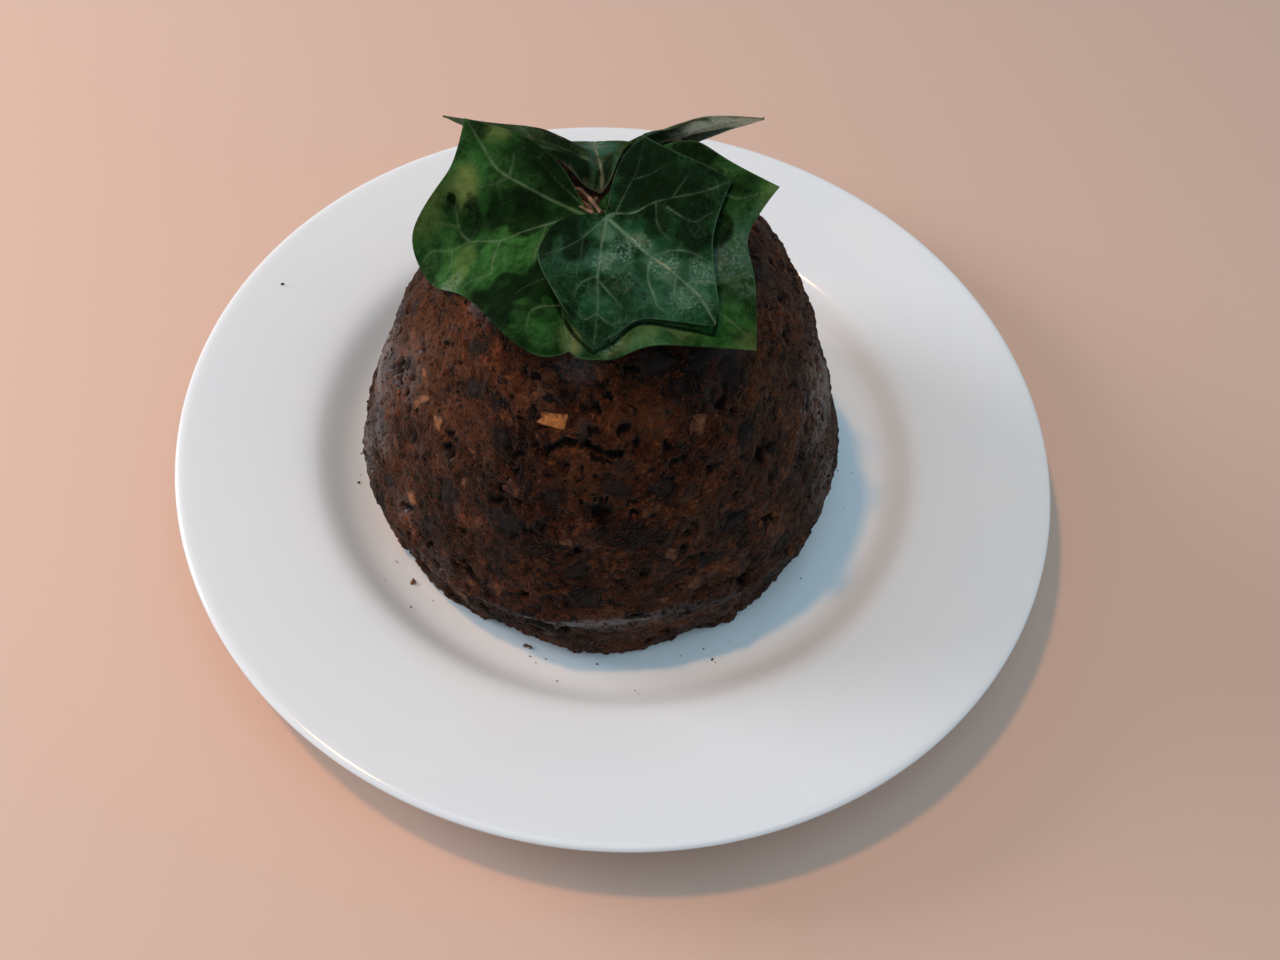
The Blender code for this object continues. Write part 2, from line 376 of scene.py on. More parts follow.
def buildPlate():
    piece = copyOfNode("plate", "plate_glazed")
    quadsFromTriangles(piece)
    applyModifier(piece, "SUBSURF", levels=2, render_levels=2)
    for vert in piece.data.vertices:           # the well and the foot stay true
        spread = Vector((vert.co.x, vert.co.y, 0.0)).length
        sway = noise.noise(vert.co * 18.0) * plate["sway"] * mm * easeBetween(50 * mm, 120 * mm, spread)
        vert.co.z = max(0.0, vert.co.z + sway * easeBetween(1.5 * mm, 6 * mm, vert.co.z))
    smoothShade(piece)
    dress(piece, glazeMaterial(), "porcelain", "plate")
    return piece


plateGlazed = buildPlate()
print("plate is turned and glazed")


# pudding

pudding = {
    "axis": (-5.5, -5.0), "heart": 35.0,      # places are given as (turn, lift) in degrees round this point
    "foot": 11.8, "seed": 12, "rayFrom": 0.12,        # height of the base in mm; rays start this many m out
    # swells of the side, as (size across, depth) in mm
    "swells": [(15.0, 0.42), (6.0, 0.24), (1.5, 0.20)],
    # clumps of crumb with creases between them, in the same way
    "clumps": [(6.5, 0.46), (3.2, 0.40)],
    # the basin's lip left a ridge: its height over the base at some turns, in degrees and mm
    "ridge": [(0, 22), (200, 19), (222, 16.5), (236, 17.8), (251, 21.5), (262, 23), (279, 25.2),
              (289, 26.4), (299, 25.6), (307, 24), (314, 22), (330, 21), (360, 22)],
    "ridgeOut": 1.15, "bandIn": 1.25, "footChips": 0.95,
    # how far under the ridge's line the ridge, the hollow and the band with its painted grey sheen lie, and
    # how wide they are, in mm
    "ridgeBell": (-0.2, 1.5), "hollowBell": (5.4, 3.8), "bandBell": (3.8, 3.6),
    # mm over the base between which the foot's chips, its gaps and the holes near the top fade
    "chipsFade": (3.0, 6.5), "gapsFade": (2.5, 5.0), "holesFade": (93, 98),
    "fadeFrom": (278, 304), "fadeTo": (335, 360),     # the ridge is faint between these turns
    "side": (60, 66), "crown": (84, 96),              # mm from the axis and over the base where these begin
    # (turn, lift, length, width, spin) of the raisins that show most, in degrees and mm
    "raisins": [
        (252, 50, 4.4, 3.0, 60), (218, 25, 4.2, 2.4, 80), (235, 21, 10.5, 6.4, 85), (215, 6, 5.0, 3.6, 30),
        (245, 43, 6.4, 5.6, 20), (231, 8, 6.0, 4.2, 70), (251, 24, 10.4, 8.4, 15), (263, -6, 7.0, 3.6, 10),
        (251, 9, 6.6, 3.6, 160), (254, 14, 4.0, 2.2, 130), (273, 7, 10.5, 7.0, 10), (283, 26, 13.0, 7.4, 5),
        (302, 14, 8.6, 4.0, 175), (293, 12, 5.6, 4.2, 15), (318, 54, 7.5, 6.6, 40), (232, 48, 6.5, 4.6, 30),
        (241, 49, 4.2, 5.0, 100), (298, 57, 7.0, 5.4, 20), (290, 37, 8.6, 6.0, 165),
        (316, 42, 7.2, 5.0, 60), (270, 15, 6.6, 4.2, 40), (309, 22, 7.4, 4.8, 20), (277, 38, 6.8, 4.6, 150),
        (262, 34, 8.0, 5.2, 35), (226, 55, 7.6, 5.2, 45), (204, 36, 6.2, 4.4, 70), (337, 12, 6.6, 4.6, 80),
        # the last three raisins on the next line are large dark patches under the large leaf's front rim,
        # standing in for the shade there: painted shade
        (343, 34, 7.4, 4.6, 100), (291, 62, 11.0, 6.4, 0), (306, 60, 10.0, 6.0, 10), (316, 57, 7.0, 5.0, 20),
    ],
    # (turn, lift, length, width, spin, brightness) of the nut chips and of the candied peel
    "nuts": [
        (302, 49, 6.2, 4.6, 75, 0.40), (298, 8, 4.8, 4.0, 70, 0.35), (292, 19, 4.6, 4.0, 80, 0.35),
        (267, 23, 4.0, 3.2, 20, 0.35), (225, 35, 4.6, 3.4, 110, 0.75), (224, 10, 4.4, 3.8, 40, 0.75),
        (216, 35, 9.5, 2.4, 62, 0.60), (311, 10, 4.0, 3.0, 20, 0.20), (331, 40, 4.4, 3.2, 60, 0.15),
        (338, 22, 3.8, 2.8, 10, 0.15), (252, 33, 5.2, 4.0, 150, 0.12),
    ],
    "peel": [
        (259, 50, 7.6, 4.2, 2, 1.0), (289, 5, 7.6, 3.4, 175, 0.30), (287, 32, 5.8, 4.8, 10, 0.12),
        (307, 27, 4.0, 2.6, 20, 0.15), (212, 40, 4.2, 3.0, 30, 0.45), (246, 0, 5.0, 2.8, 150, 0.20),
        (328, 48, 5.8, 4.2, 60, 0.20), (230, 27, 5.0, 3.6, 10, 0.25), (253, 55, 8.0, 6.0, 20, 0.14),
    ],
    # (turn, lift, length, width, spin, depth) of holes and cracks in the crumb
    "holes": [
        (231, 32, 4.6, 2.8, 10, 2.0), (251, 41, 4.6, 2.0, 20, 1.8), (271, 54, 3.0, 2.2, 90, 1.6),
        (282, 61, 5.2, 3.2, 10, 2.2), (314, 48, 5.0, 2.8, 15, 2.4), (309, 51, 5.0, 1.3, 35, 1.6),
        (320, 35, 5.6, 5.0, 20, 3.0), (326, 35, 6.0, 1.4, 30, 2.0), (334, 24, 2.6, 3.6, 90, 2.0),
        (335, 17, 3.0, 1.6, 80, 1.6), (357, 36, 3.4, 1.4, 80, 1.6), (345, 51, 3.6, 2.2, 40, 1.8),
        (303, 39, 2.4, 1.6, 0, 1.2), (250, 29, 4.0, 1.8, 165, 1.6), (254, 30, 3.6, 2.2, 10, 1.6),
        (238, 15, 2.4, 1.6, 40, 1.4), (261, 32, 2.2, 1.6, 0, 1.2), (273, 32, 2.2, 2.0, 0, 1.4),
        (228, -12, 6.0, 1.8, 170, 2.2), (236, -1, 3.6, 2.2, 160, 1.8), (241, 3, 4.0, 1.8, 150, 1.6),
        (259, 5, 2.4, 2.0, 0, 1.6), (283, 32, 2.4, 4.0, 90, 1.6), (296, 24, 3.6, 1.8, 20, 1.6),
        (295, 20, 2.2, 3.2, 90, 1.6), (311, 2, 4.6, 4.4, 30, 2.8), (319, 17, 4.2, 2.4, 10, 2.2),
        (331, 7, 2.4, 1.6, 60, 1.4), (324, 1, 3.4, 1.6, 50, 1.6), (285, 15, 3.4, 1.8, 30, 1.6),
        (308, 30, 4.6, 1.1, 165, 1.2), (202, 34, 3.0, 4.6, 80, 1.8), (209, 36, 3.4, 2.4, 60, 1.8),
        (211, 8, 2.6, 2.0, 60, 1.6), (299, 16, 6.0, 1.6, 175, 1.8), (262, -8, 6.4, 2.6, 172, 2.0),
    ],
    # the crack under the crown as (turn, lift) points, then its width, its depth and its links' length in mm
    "crack": [(258.6, 44), (261, 45.4), (263.5, 46.6), (267, 46.6), (270.8, 46), (273, 45.6), (275.3, 45),
              (279.6, 44.8)],
    "crackWidth": (1.7, 2.8), "crackDepth": 2.3, "crackLink": 2.6, "raisinDent": 0.16,
    # of each kind of mark: how far it is looked for, how ragged it is, and where its edge begins and ends
    "edges": {"hole": (0.9, 0.95, 0.45, 1.15), "crack": (0.9, 0.6, 0.35, 1.1),
              "raisin": (1.0, 0.55, 0.72, 1.30), "chip": (1.0, 0.2, 0.7, 1.3),
              "area": (0.6, 0.35, 0.15, 1.0)},
    # (turn, lift, reach in mm, strength) of the ruddier areas
    "ruddy": [
        (208, 46, 26, 1.0), (222, 40, 18, 0.9), (240, 38, 12, 0.4), (251, 54, 9, 0.8), (271, 41, 16, 0.6),
        (284, 52, 14, 0.5), (328, 48, 12, 0.5), (230, 27, 10, 0.5), (289, 8, 12, 0.35), (212, 12, 8, 0.5),
        (298, 28, 12, 0.35), (190, 30, 18, 0.5), (150, 40, 20, 0.5), (90, 30, 18, 0.4), (30, 40, 16, 0.4),
        (275, -19, 24, 0.35), (240, -17, 18, 0.35), (305, -18, 18, 0.35),
    ],
    # the same for the basin-smooth, shinier skin
    "sheen": [
        (190, 22, 24, 1.0), (198, 0, 18, 0.9), (206, 34, 14, 0.7), (204, 12, 12, 0.8), (351, 28, 22, 0.7),
        (345, 5, 16, 0.5), (262, 61, 8, 0.6), (236, -3, 12, 0.5), (150, 30, 22, 0.5), (100, 20, 22, 0.5),
        (50, 35, 22, 0.5), (222, 5, 10, 0.4), (320, 60, 10, 0.4), (268, 50, 4, 0.5),
    ],
    # what is strewn: how many, how far apart, the length in mm, the width as a share of it and the brightness
    "looseRaisins": (52, 0.17, (4.4, 10.5), (0.5, 0.8)),
    "looseChips": {"nuts": (16, 0.11, (2.6, 5.6), (0.45, 0.8), (0.05, 0.5)),
                   "peel": (14, 0.10, (2.6, 6.0), (0.4, 0.7), (0.05, 0.4))},
    "looseHoles": (470, None, (1.4, 3.8), (0.28, 0.65)),
    "thickestRaisin": 3.2, "chipSeed": 24,
    # tries for a grain, their lift in degrees, and in mm a grain's size and its distance from a bright chip
    "grains": 13500, "grainLift": (-18, 66), "grainSize": (0.18, 0.44), "clearOfChips": 3.4,
}


def heartOf():
    return Vector((pudding["axis"][0], pudding["axis"][1], pudding["heart"])) * mm


def outward(turn, lift):
    turn, lift = math.radians(turn), math.radians(lift)
    return Vector((math.cos(turn) * math.cos(lift), math.sin(turn) * math.cos(lift), math.sin(lift)))


def onSurface(tree, turn, lift):
    # where a ray from the pudding's heart comes out, with the surface's normal there
    way = outward(turn, lift)
    return tree.ray_cast(heartOf() + way * pudding["rayFrom"], -way)[:2]


def frameAt(normal, spin):
    # a set of axes on the surface: the first runs level along it, turned by the spin
    level = Vector((0, 0, 1)).cross(normal)
    if level.length < 0.01:
        level = Vector((1, 0, 0))
    level.normalize()
    rise = normal.cross(level)
    angle = math.radians(spin)
    along = level * math.cos(angle) + rise * math.sin(angle)
    return along, normal.cross(along), normal


def randomPlaces(rng, count, taken, spacing, lowLift=-17, highLift=72):
    # spread over the dome, away from the places already taken (all as (turn, lift))
    lowest, highest = math.sin(math.radians(lowLift)), math.sin(math.radians(highLift))
    places = []
    tries = 0
    while len(places) < count and tries < count * 60:
        tries += 1
        turn = rng.uniform(0, 360)
        lift = math.degrees(math.asin(rng.uniform(lowest, highest)))
        here = outward(turn, lift)
        if spacing is None:
            places.append((turn, lift))
        elif all((here - other).length > spacing for other in taken):
            taken.append(here)
            places.append((turn, lift))
    return places


def planFruit():
    # the fruit that shows most is listed and the rest is strewn between it
    rng = random.Random(pudding["seed"])
    taken = [outward(item[0], item[1]) for kind in ("raisins", "nuts", "peel") for item in pudding[kind]]
    taken += [outward(turn, lift) for turn, lift in pudding["crack"]]
    plan = {kind: list(pudding[kind]) for kind in ("raisins", "nuts", "peel", "holes")}
    count, spacing, lengths, widths = pudding["looseRaisins"]
    for turn, lift in randomPlaces(rng, count, taken, spacing):
        length = rng.uniform(*lengths)
        plan["raisins"].append((turn, lift, length, length * rng.uniform(*widths), rng.uniform(0, 180)))
    for kind, (count, spacing, lengths, widths, tones) in pudding["looseChips"].items():
        for turn, lift in randomPlaces(rng, count, taken, spacing):
            length = rng.uniform(*lengths)
            width = length * rng.uniform(*widths)
            plan[kind].append((turn, lift, length, width, rng.uniform(0, 180), rng.uniform(*tones)))
    count, spacing, lengths, widths = pudding["looseHoles"]
    for turn, lift in randomPlaces(rng, count, [], spacing):
        length = rng.uniform(*lengths)
        if rng.random() < 0.12:                # a few are long
            length *= 1.7
        width = max(1.0, length * rng.uniform(*widths))
        lean = rng.gauss(0, 28) if rng.random() < 0.6 else rng.uniform(0, 180)
        plan["holes"].append((turn, lift, length, width, lean, width * rng.uniform(0.5, 0.95)))
    return plan


def crackPoints():
    # the crack as a chain of small holes
    points = []
    for (turnA, liftA), (turnB, liftB) in zip(pudding["crack"][:-1], pudding["crack"][1:]):
        for step in range(5):
            share = step / 5
            points.append((turnA + (turnB - turnA) * share, liftA + (liftB - liftA) * share))
    return points


def ridgeHeight(turn):
    # where the lip's ridge runs at this turn, in mm over the base
    turn %= 360
    for (turnA, highA), (turnB, highB) in zip(pudding["ridge"][:-1], pudding["ridge"][1:]):
        if turnA <= turn <= turnB:
            return highA + (highB - highA) * easeBetween(turnA, turnB, turn)
    return pudding["ridge"][0][1]


def bell(over, drop, width):
    return math.exp(-(((over + drop) / width) ** 2))


def buildPuddingBody(plan):
    piece = copyOfNode("pudding", "pudding_body")
    quadsFromTriangles(piece, square=90)
    applyModifier(piece, "SUBSURF", levels=3, render_levels=3)
    mesh = piece.data
    plain = BVHTree.FromObject(piece, bpy.context.evaluated_depsgraph_get())
    count = len(mesh.vertices)
    places = [vert.co.copy() for vert in mesh.vertices]
    normals = [vert.normal.copy() for vert in mesh.vertices]
    finder = KDTree(count)
    for index, place in enumerate(places):
        finder.insert(place, index)
    finder.balance()
    push = [0.0] * count
    values = {name: [0.0] * count for name in ("pit", "ruddy", "raisin", "crease", "band", "sheen")}

    def mark(kind, turn, lift, length, width, spin=0):
        # the points round a place with how far each lies inside a ragged oval (1 inside, 0 outside)
        spread, ragged, soft, hard = pudding["edges"][kind]
        place, normal = onSurface(plain, turn, lift)
        if place is None:
            return
        along, aside, up = frameAt(normal, spin)
        for co, index, distance in finder.find_range(place, max(length, width) * spread * mm):
            offset = (co - place) / mm
            far = math.hypot(offset.dot(along) / (length / 2), offset.dot(aside) / (width / 2))
            far *= 1 + ragged * noise.noise(co * 420.0) + ragged * 0.6 * noise.noise(co * 1300.0)
            share = 1 - easeBetween(soft, hard, far)
            if share > 0:
                yield index, share

    # holes and the crack sink in, and where they lie the colour gets painted shade
    for turn, lift, length, width, spin, depth in plan["holes"]:
        for index, share in mark("hole", turn, lift, length, width, spin):
            push[index] = min(push[index], -depth * share)
            values["pit"][index] = max(values["pit"][index], share)
    thin, thick = pudding["crackWidth"]
    for number, (turn, lift) in enumerate(crackPoints()):
        wide = thin + (thick - thin) * abs(math.sin(number * 0.55 + 1.2))
        for index, share in mark("crack", turn, lift, pudding["crackLink"], wide):
            push[index] = min(push[index], -pudding["crackDepth"] * share)
            values["pit"][index] = max(values["pit"][index], share)
    for turn, lift, length, width, spin in plan["raisins"]:
        for index, share in mark("raisin", turn, lift, length * 1.1, width * 1.15, spin):
            values["raisin"][index] = max(values["raisin"][index], share)
            push[index] -= pudding["raisinDent"] * share
    calm = [0.0] * count
    for turn, lift, length, width, spin, bright in plan["nuts"] + plan["peel"]:
        for index, share in mark("chip", turn, lift, length * 1.2, width * 1.3, spin):
            calm[index] = max(calm[index], share * min(1.0, 0.4 + bright))
    for area in ("ruddy", "sheen"):
        for turn, lift, reach, strength in pudding[area]:
            for index, share in mark("area", turn, lift, reach * 2, reach * 2):
                values[area][index] = max(values[area][index], strength * share)

    foot = pudding["foot"] * mm
    axisX, axisY = pudding["axis"]
    for index, vert in enumerate(mesh.vertices):
        co = places[index]
        height = (co.z - foot) / mm
        swell = 0.0
        for size, depth in pudding["swells"]:
            swell += depth * noise.noise(co / (size * mm) + Vector((size, 0, 0))) * 1.6
        crease = 0.0
        for size, depth in pudding["clumps"]:
            sway = noise.noise_vector(co / (size * 1.6 * mm)) * 0.55
            lump = abs(noise.noise(co / (size * mm) + sway + Vector((0, size, 0))))
            swell += depth * (min(lump, 0.35) * 3.4 - 0.62)
            gaping = easeBetween(-0.1, 0.3, noise.noise(co * 120.0))
            crease = max(crease, (1 - easeBetween(0.0, 0.075, lump)) * gaping)
        # creases between the clumps, where the colour gets painted shade
        values["crease"][index] = crease
        side = Vector((co.x / mm - axisX, co.y / mm - axisY, 0.0))
        turn = math.degrees(math.atan2(side.y, side.x))
        # the lip: a ridge, a smooth hollow band under it and a ragged foot
        over = height - ridgeHeight(turn) - 1.2 * noise.noise(co * 55.0)
        firm = 0.55 + 0.9 * max(0.0, noise.noise(Vector((co.x, co.y, 0.0)) * 22.0) + 0.25)
        fade = easeBetween(*pudding["fadeFrom"], turn % 360)
        fade = 1 - fade * (1 - easeBetween(*pudding["fadeTo"], turn % 360))
        firm *= 0.45 + 0.55 * fade
        outer = easeBetween(*pudding["side"], side.length)
        lip = pudding["ridgeOut"] * bell(over, *pudding["ridgeBell"]) * firm
        lip -= pudding["bandIn"] * bell(over, *pudding["hollowBell"])
        band = bell(over, *pudding["bandBell"]) * outer * (0.25 + 0.75 * fade)
        ragged = noise.noise(co * 170.0) + 0.7 * noise.noise(co * 420.0)
        chips = pudding["footChips"] * ragged * (1 - easeBetween(*pudding["chipsFade"], height))
        gap = easeBetween(0.25, 0.5, noise.noise(Vector((co.x, co.y, 0.1)) * 75.0))
        chips -= gap * (1 - easeBetween(*pudding["gapsFade"], height))
        # the band under the ridge, which the crumb's colour gives a painted grey sheen
        values["band"][index] = band
        top = 1.0 - 0.75 * easeBetween(*pudding["crown"], height)
        shift = swell * top * (1 - 0.6 * band) + (lip + chips) * outer
        shift += push[index] * (1 - 0.8 * easeBetween(*pudding["holesFade"], height))
        shift = shift * (1 - calm[index]) - 0.1 * calm[index]
        if height < 0.3:
            shift = chips * outer * 0.8
            way = side.normalized() if side.length else side
        else:
            way = normals[index]
        vert.co = co + way * shift * mm
        vert.co.z = max(foot - 0.2 * mm, vert.co.z)
    for name, numbers in values.items():
        paintValues(piece, name, numbers)
    smoothShade(piece)
    return piece, plain


noise.seed_set(pudding["seed"])                # without it noise_vector follows the clock
fruitPlan = planFruit()
puddingBody, puddingSkin = buildPuddingBody(fruitPlan)
print("pudding body:", len(puddingBody.data.polygons), "faces")


crumbColours = {"Dark": (0.0060, 0.0026, 0.0019, 1), "Brown": (0.052, 0.0138, 0.0054, 1),
                "Amber": (0.175, 0.051, 0.0175, 1)}
# what the crumb is tinted with in places: the glint is a painted highlight, the band's grey is painted sheen,
# and crease and pit are painted shade
crumbTints = {
    "glint": (0.165, 0.062, 0.024, 1), "ruddy": (0.125, 0.043, 0.018, 1),
    "overRaisin": (0.0068, 0.0050, 0.0046, 1), "band": (0.056, 0.039, 0.033, 1),
    "crease": (0.0075, 0.0034, 0.0026, 1), "pit": (0.0036, 0.0026, 0.0026, 1),
    "grain": (0.075, 0.026, 0.011, 1), "fallen": (0.20, 0.075, 0.032, 1),
}


def crumbGroup():
    # mottled steamed crumb, used by the body, by its grains and by the crumbs on the plate
    group, given, outside = newGroup(
        "crumbMottle",
        {"Where": "Vector", "Dark": "Color", "Brown": "Color", "Amber": "Color", "Glint Speck Amount": "Float"},
        {"Colour": "Color", "Grain": "Float", "Moist": "Float", "Hollow": "Float"})
    place = given["Where"]
    broad = noiseAt(group, place, 75.0, 5.0, 0.6, 0.6)
    fine = noiseAt(group, place, 420.0, 5.0, 0.65, 0.5)
    dust = noiseAt(group, place, 1200.0, 4.0, 0.65)
    blend = plus(group, times(group, broad, 0.42), times(group, fine, 0.33))
    blend = plus(group, blend, times(group, dust, 0.25))
    colour = mixColour(group, remap(group, blend, 0.41, 0.52), given["Dark"], given["Brown"])
    colour = mixColour(group, remap(group, blend, 0.51, 0.62, 0.0, 0.9), colour, given["Amber"])
    # painted highlights: bright specks for grains of flour and sugar that catch the light
    cells = cellsAt(group, place, 760.0)
    speck = times(group, remap(group, cells["Color"], 0.84, 0.92), remap(group, cells["Distance"], 0.5, 0.2))
    speck = times(group, speck, given["Glint Speck Amount"])
    colour = mixColour(group, speck, colour, crumbTints["glint"])
    # pinholes, ragged holes and short winding cracks, painted dark as the shade in them
    holes = times(group, remap(group, cells["Color"], 0.17, 0.09), remap(group, cells["Distance"], 0.6, 0.25))
    bent = {0: swayed(group, place, 500.0, 0.0030), 1: (1.0, 1.0, 1.8)}
    bent = addNode(group, "VectorMath", bent, operation="MULTIPLY").outputs[0]
    wide = cellsAt(group, bent, 250.0)
    wideHoles = remap(group, wide["Distance"], 0.46, 0.30)
    wideHoles = times(group, remap(group, wide["Color"], 0.27, 0.20), wideHoles)
    winding = doMath(group, "ABSOLUTE", minus(group, noiseAt(group, bent, 165.0, 2.5), 0.5))
    torn = remap(group, noiseAt(group, place, 210.0, 3.0, 0.6), 0.49, 0.54)
    torn = times(group, remap(group, winding, 0.034, 0.012), torn)
    hollow = larger(group, larger(group, holes, wideHoles), torn)
    colour = mixColour(group, times(group, hollow, 0.95), colour, given["Dark"])
    grain = times(group, remap(group, dust, 0.3, 0.7), 0.35)
    grain = plus(group, grain, times(group, remap(group, fine, 0.3, 0.7), 0.75))
    grain = plus(group, grain, times(group, speck, 0.4))
    grain = minus(group, grain, times(group, hollow, 0.9))
    moist = remap(group, noiseAt(group, place, 140.0, 4.0, 0.6), 0.50, 0.66)
    feed(group, {"Colour": colour, "Grain": grain, "Moist": moist, "Hollow": hollow}, outside)
    return group


crumbMottle = crumbGroup()


def crumbAt(tree, place, specks):
    look = {"Where": place, "Glint Speck Amount": specks, **crumbColours}
    return addNode(tree, "Group", look, node_tree=crumbMottle).outputs


def bodyMaterial():
    material, tree, shader = newMaterial("steamed_crumb")
    place = objectPlace(tree)
    crumb = crumbAt(tree, place, 0.6)
    ruddy = times(tree, readValue(tree, "ruddy"), remap(tree, noiseAt(tree, place, 260.0, 4.0), 0.25, 0.55))
    ruddy = times(tree, ruddy, minus(tree, 1.0, crumb["Hollow"]))
    # raisins just under the surface darken the crumb over them
    raisin = remap(tree, noiseAt(tree, place, 520.0, 4.0, 0.6), 0.28, 0.48)
    raisin = times(tree, readValue(tree, "raisin"), raisin)
    band = readValue(tree, "band")
    pit = remap(tree, readValue(tree, "pit"), 0.08, 0.74)
    colour = crumb["Colour"]
    # the creases and pits get painted shade, and the band under the lip a painted grey sheen
    for amount, strength, tint in ((ruddy, 0.8, "ruddy"), (raisin, 0.88, "overRaisin"), (band, 0.45, "band"),
                                   (readValue(tree, "crease"), 0.75, "crease"), (pit, 0.9, "pit")):
        colour = mixColour(tree, times(tree, amount, strength), colour, crumbTints[tint])
    rough = remap(tree, crumb["Grain"], 0.2, 0.9, 0.66, 0.52)
    rough = minus(tree, rough, times(tree, raisin, 0.10))
    moist = larger(tree, times(tree, crumb["Moist"], 0.17), readValue(tree, "sheen"))
    moist = larger(tree, moist, times(tree, band, 0.85))
    feed(tree, {"Base Color": colour, "Roughness": minus(tree, rough, times(tree, band, 0.14)),
                "Specular IOR Level": 0.03, "Sheen Weight": 0.13, "Sheen Roughness": 0.18,
                "Sheen Tint": (1.0, 0.75, 0.60, 1),
                "Coat Weight": times(tree, moist, minus(tree, 1.0, pit)), "Coat Roughness": 0.33,
                "Normal": bumpFrom(tree, crumb["Grain"], 0.80 * mm)}, shader)
    return material


raisinLook = {"dark": (0.0070, 0.0052, 0.0048, 1), "pale": (0.0165, 0.0090, 0.0066, 1),
              "cling": (0.034, 0.0115, 0.0060, 1)}


def raisinMaterial():
    material, tree, shader = newMaterial("raisin_skin")
    place = objectPlace(tree)
    tint = noiseAt(tree, place, 140.0, 3.0)
    colour = mixColour(tree, remap(tree, tint, 0.35, 0.65), raisinLook["dark"], raisinLook["pale"])
    # crumb clings to the skin in places
    cling = remap(tree, noiseAt(tree, place, 480.0, 4.0, 0.6), 0.54, 0.66, 0.0, 0.8)
    wrinkle = noiseAt(tree, place, 620.0, 4.0, 0.6, 1.2)
    feed(tree, {"Base Color": mixColour(tree, cling, colour, raisinLook["cling"]),
                "Roughness": remap(tree, tint, 0.3, 0.7, 0.40, 0.55), "Specular IOR Level": 0.10,
                "Normal": bumpFrom(tree, remap(tree, wrinkle, 0.3, 0.7), 0.35 * mm, 0.8)}, shader)
    return material


# colours, least and greatest roughness, bevel of the first cube, and thickness and rise in mm
chipKinds = {
    "nuts": {"piece": "pudding_nuts", "material": "nut_flesh", "bright": (0.30, 0.115, 0.042, 1),
             "dull": (0.056, 0.0180, 0.0080, 1), "rough": (0.45, 0.6), "corner": 0.20, "thickness": 1.7,
             "rise": 0.06},
    "peel": {"piece": "pudding_peel", "material": "candied_peel", "bright": (0.43, 0.150, 0.036, 1),
             "dull": (0.060, 0.0165, 0.0070, 1), "rough": (0.34, 0.48), "corner": 0.28, "thickness": 1.8,
             "rise": 0.08},
}
chipFleck = (0.037, 0.0115, 0.0055, 1)


def chipMaterial(kind):
    material, tree, shader = newMaterial(kind["material"])
    place = objectPlace(tree)
    stain = noiseAt(tree, place, 330.0, 4.0, 0.6)
    bright = readValue(tree, "bright")
    tone = plus(tree, bright, times(tree, minus(tree, stain, 0.5), 0.9))
    colour = mixColour(tree, remap(tree, tone, 0.0, 1.0), kind["dull"], kind["bright"])
    fleck = remap(tree, noiseAt(tree, place, 800.0, 5.0, 0.65), 0.44, 0.60, 0.0, 0.9)
    fleck = times(tree, fleck, minus(tree, 1.0, times(tree, bright, 0.7)))
    relief = remap(tree, noiseAt(tree, place, 900.0, 4.0), 0.3, 0.7)
    feed(tree, {"Base Color": mixColour(tree, fleck, colour, chipFleck),
                "Roughness": remap(tree, stain, 0.3, 0.7, *kind["rough"]), "Specular IOR Level": 0.15,
                "Normal": bumpFrom(tree, relief, 0.25 * mm, 0.8)}, shader)
    return material


def setInSurface(piece, turn, lift, spin, sink):
    # turns a fresh copy to the surface and sinks its middle by this many mm
    place, normal = onSurface(puddingSkin, turn, lift)
    turned = Matrix(frameAt(normal, spin)).transposed().to_4x4()
    piece.data.transform(Matrix.Translation(place - normal * sink * mm) @ turned)


def buildRaisins(plan):
    rng = random.Random(pudding["seed"] + 1)
    bpy.ops.mesh.primitive_ico_sphere_add(subdivisions=4, radius=0.5)
    pattern = bpy.context.object
    made = []
    for number, (turn, lift, length, width, spin) in enumerate(plan):
        raisin = newObject("raisin", pattern.data.copy())
        shift = Vector((number * 7.3, 0, 0))
        thick = min(width * 0.55, pudding["thickestRaisin"])
        for vert in raisin.data.vertices:
            co = vert.co * 2
            fold = abs(noise.noise(co * 1.7 + shift)) * 0.30 + abs(noise.noise(co * 3.6 + shift)) * 0.16
            bulge = 1.0 + 0.34 * noise.noise(co * 0.9 + shift) - fold
            vert.co = Vector((co.x * length, co.y * width, co.z * thick)) * 0.5 * bulge * 1.08 * mm
        setInSurface(raisin, turn, lift, spin, thick * 0.5 * 0.92 - rng.uniform(0.02, 0.30))
        made.append(raisin)
    bpy.data.objects.remove(pattern)
    raisins = joinAll(made, "pudding_raisins")
    smoothShade(raisins)
    dress(raisins, raisinMaterial(), "pudding_crumb")


def buildChips(kind, plan):
    rng = random.Random(pudding["chipSeed"])
    bpy.ops.mesh.primitive_cube_add(size=1.0)
    pattern = bpy.context.object
    applyModifier(pattern, "BEVEL", width=kind["corner"], segments=2, limit_method="NONE")
    applyModifier(pattern, "SUBSURF", levels=2, render_levels=2)
    made, tones = [], []
    for number, (turn, lift, length, width, spin, bright) in enumerate(plan):
        chip = newObject(kind["piece"], pattern.data.copy())
        shift = Vector((0, number * 5.1, 0))
        thick = kind["thickness"] * rng.uniform(0.85, 1.2)
        taper = rng.uniform(-0.5, 0.5)
        for vert in chip.data.vertices:
            co = vert.co
            narrow = 1 + taper * co.x * 1.6
            bulge = 1.0 + 0.34 * noise.noise(co * 2.2 + shift) + 0.16 * noise.noise(co * 6 + shift)
            rim = max(abs(co.x), abs(co.y)) + 0.2 * noise.noise(co * 5 + shift)
            tones.append(bright * (1 - 0.75 * easeBetween(0.22, 0.56, rim)))   # darker towards its edge
            vert.co = Vector((co.x * length, co.y * width * narrow, co.z * thick)) * bulge * mm
        sink = thick * 0.5 - kind["rise"] * rng.uniform(0.2, 1.0) - 0.40 * max(0.0, bright - 0.3)
        setInSurface(chip, turn, lift, spin, sink)
        made.append(chip)
    bpy.data.objects.remove(pattern)
    chips = joinAll(made, kind["piece"])
    paintValues(chips, "bright", tones)
    smoothShade(chips, 60)
    dress(chips, chipMaterial(kind), "pudding_crumb")


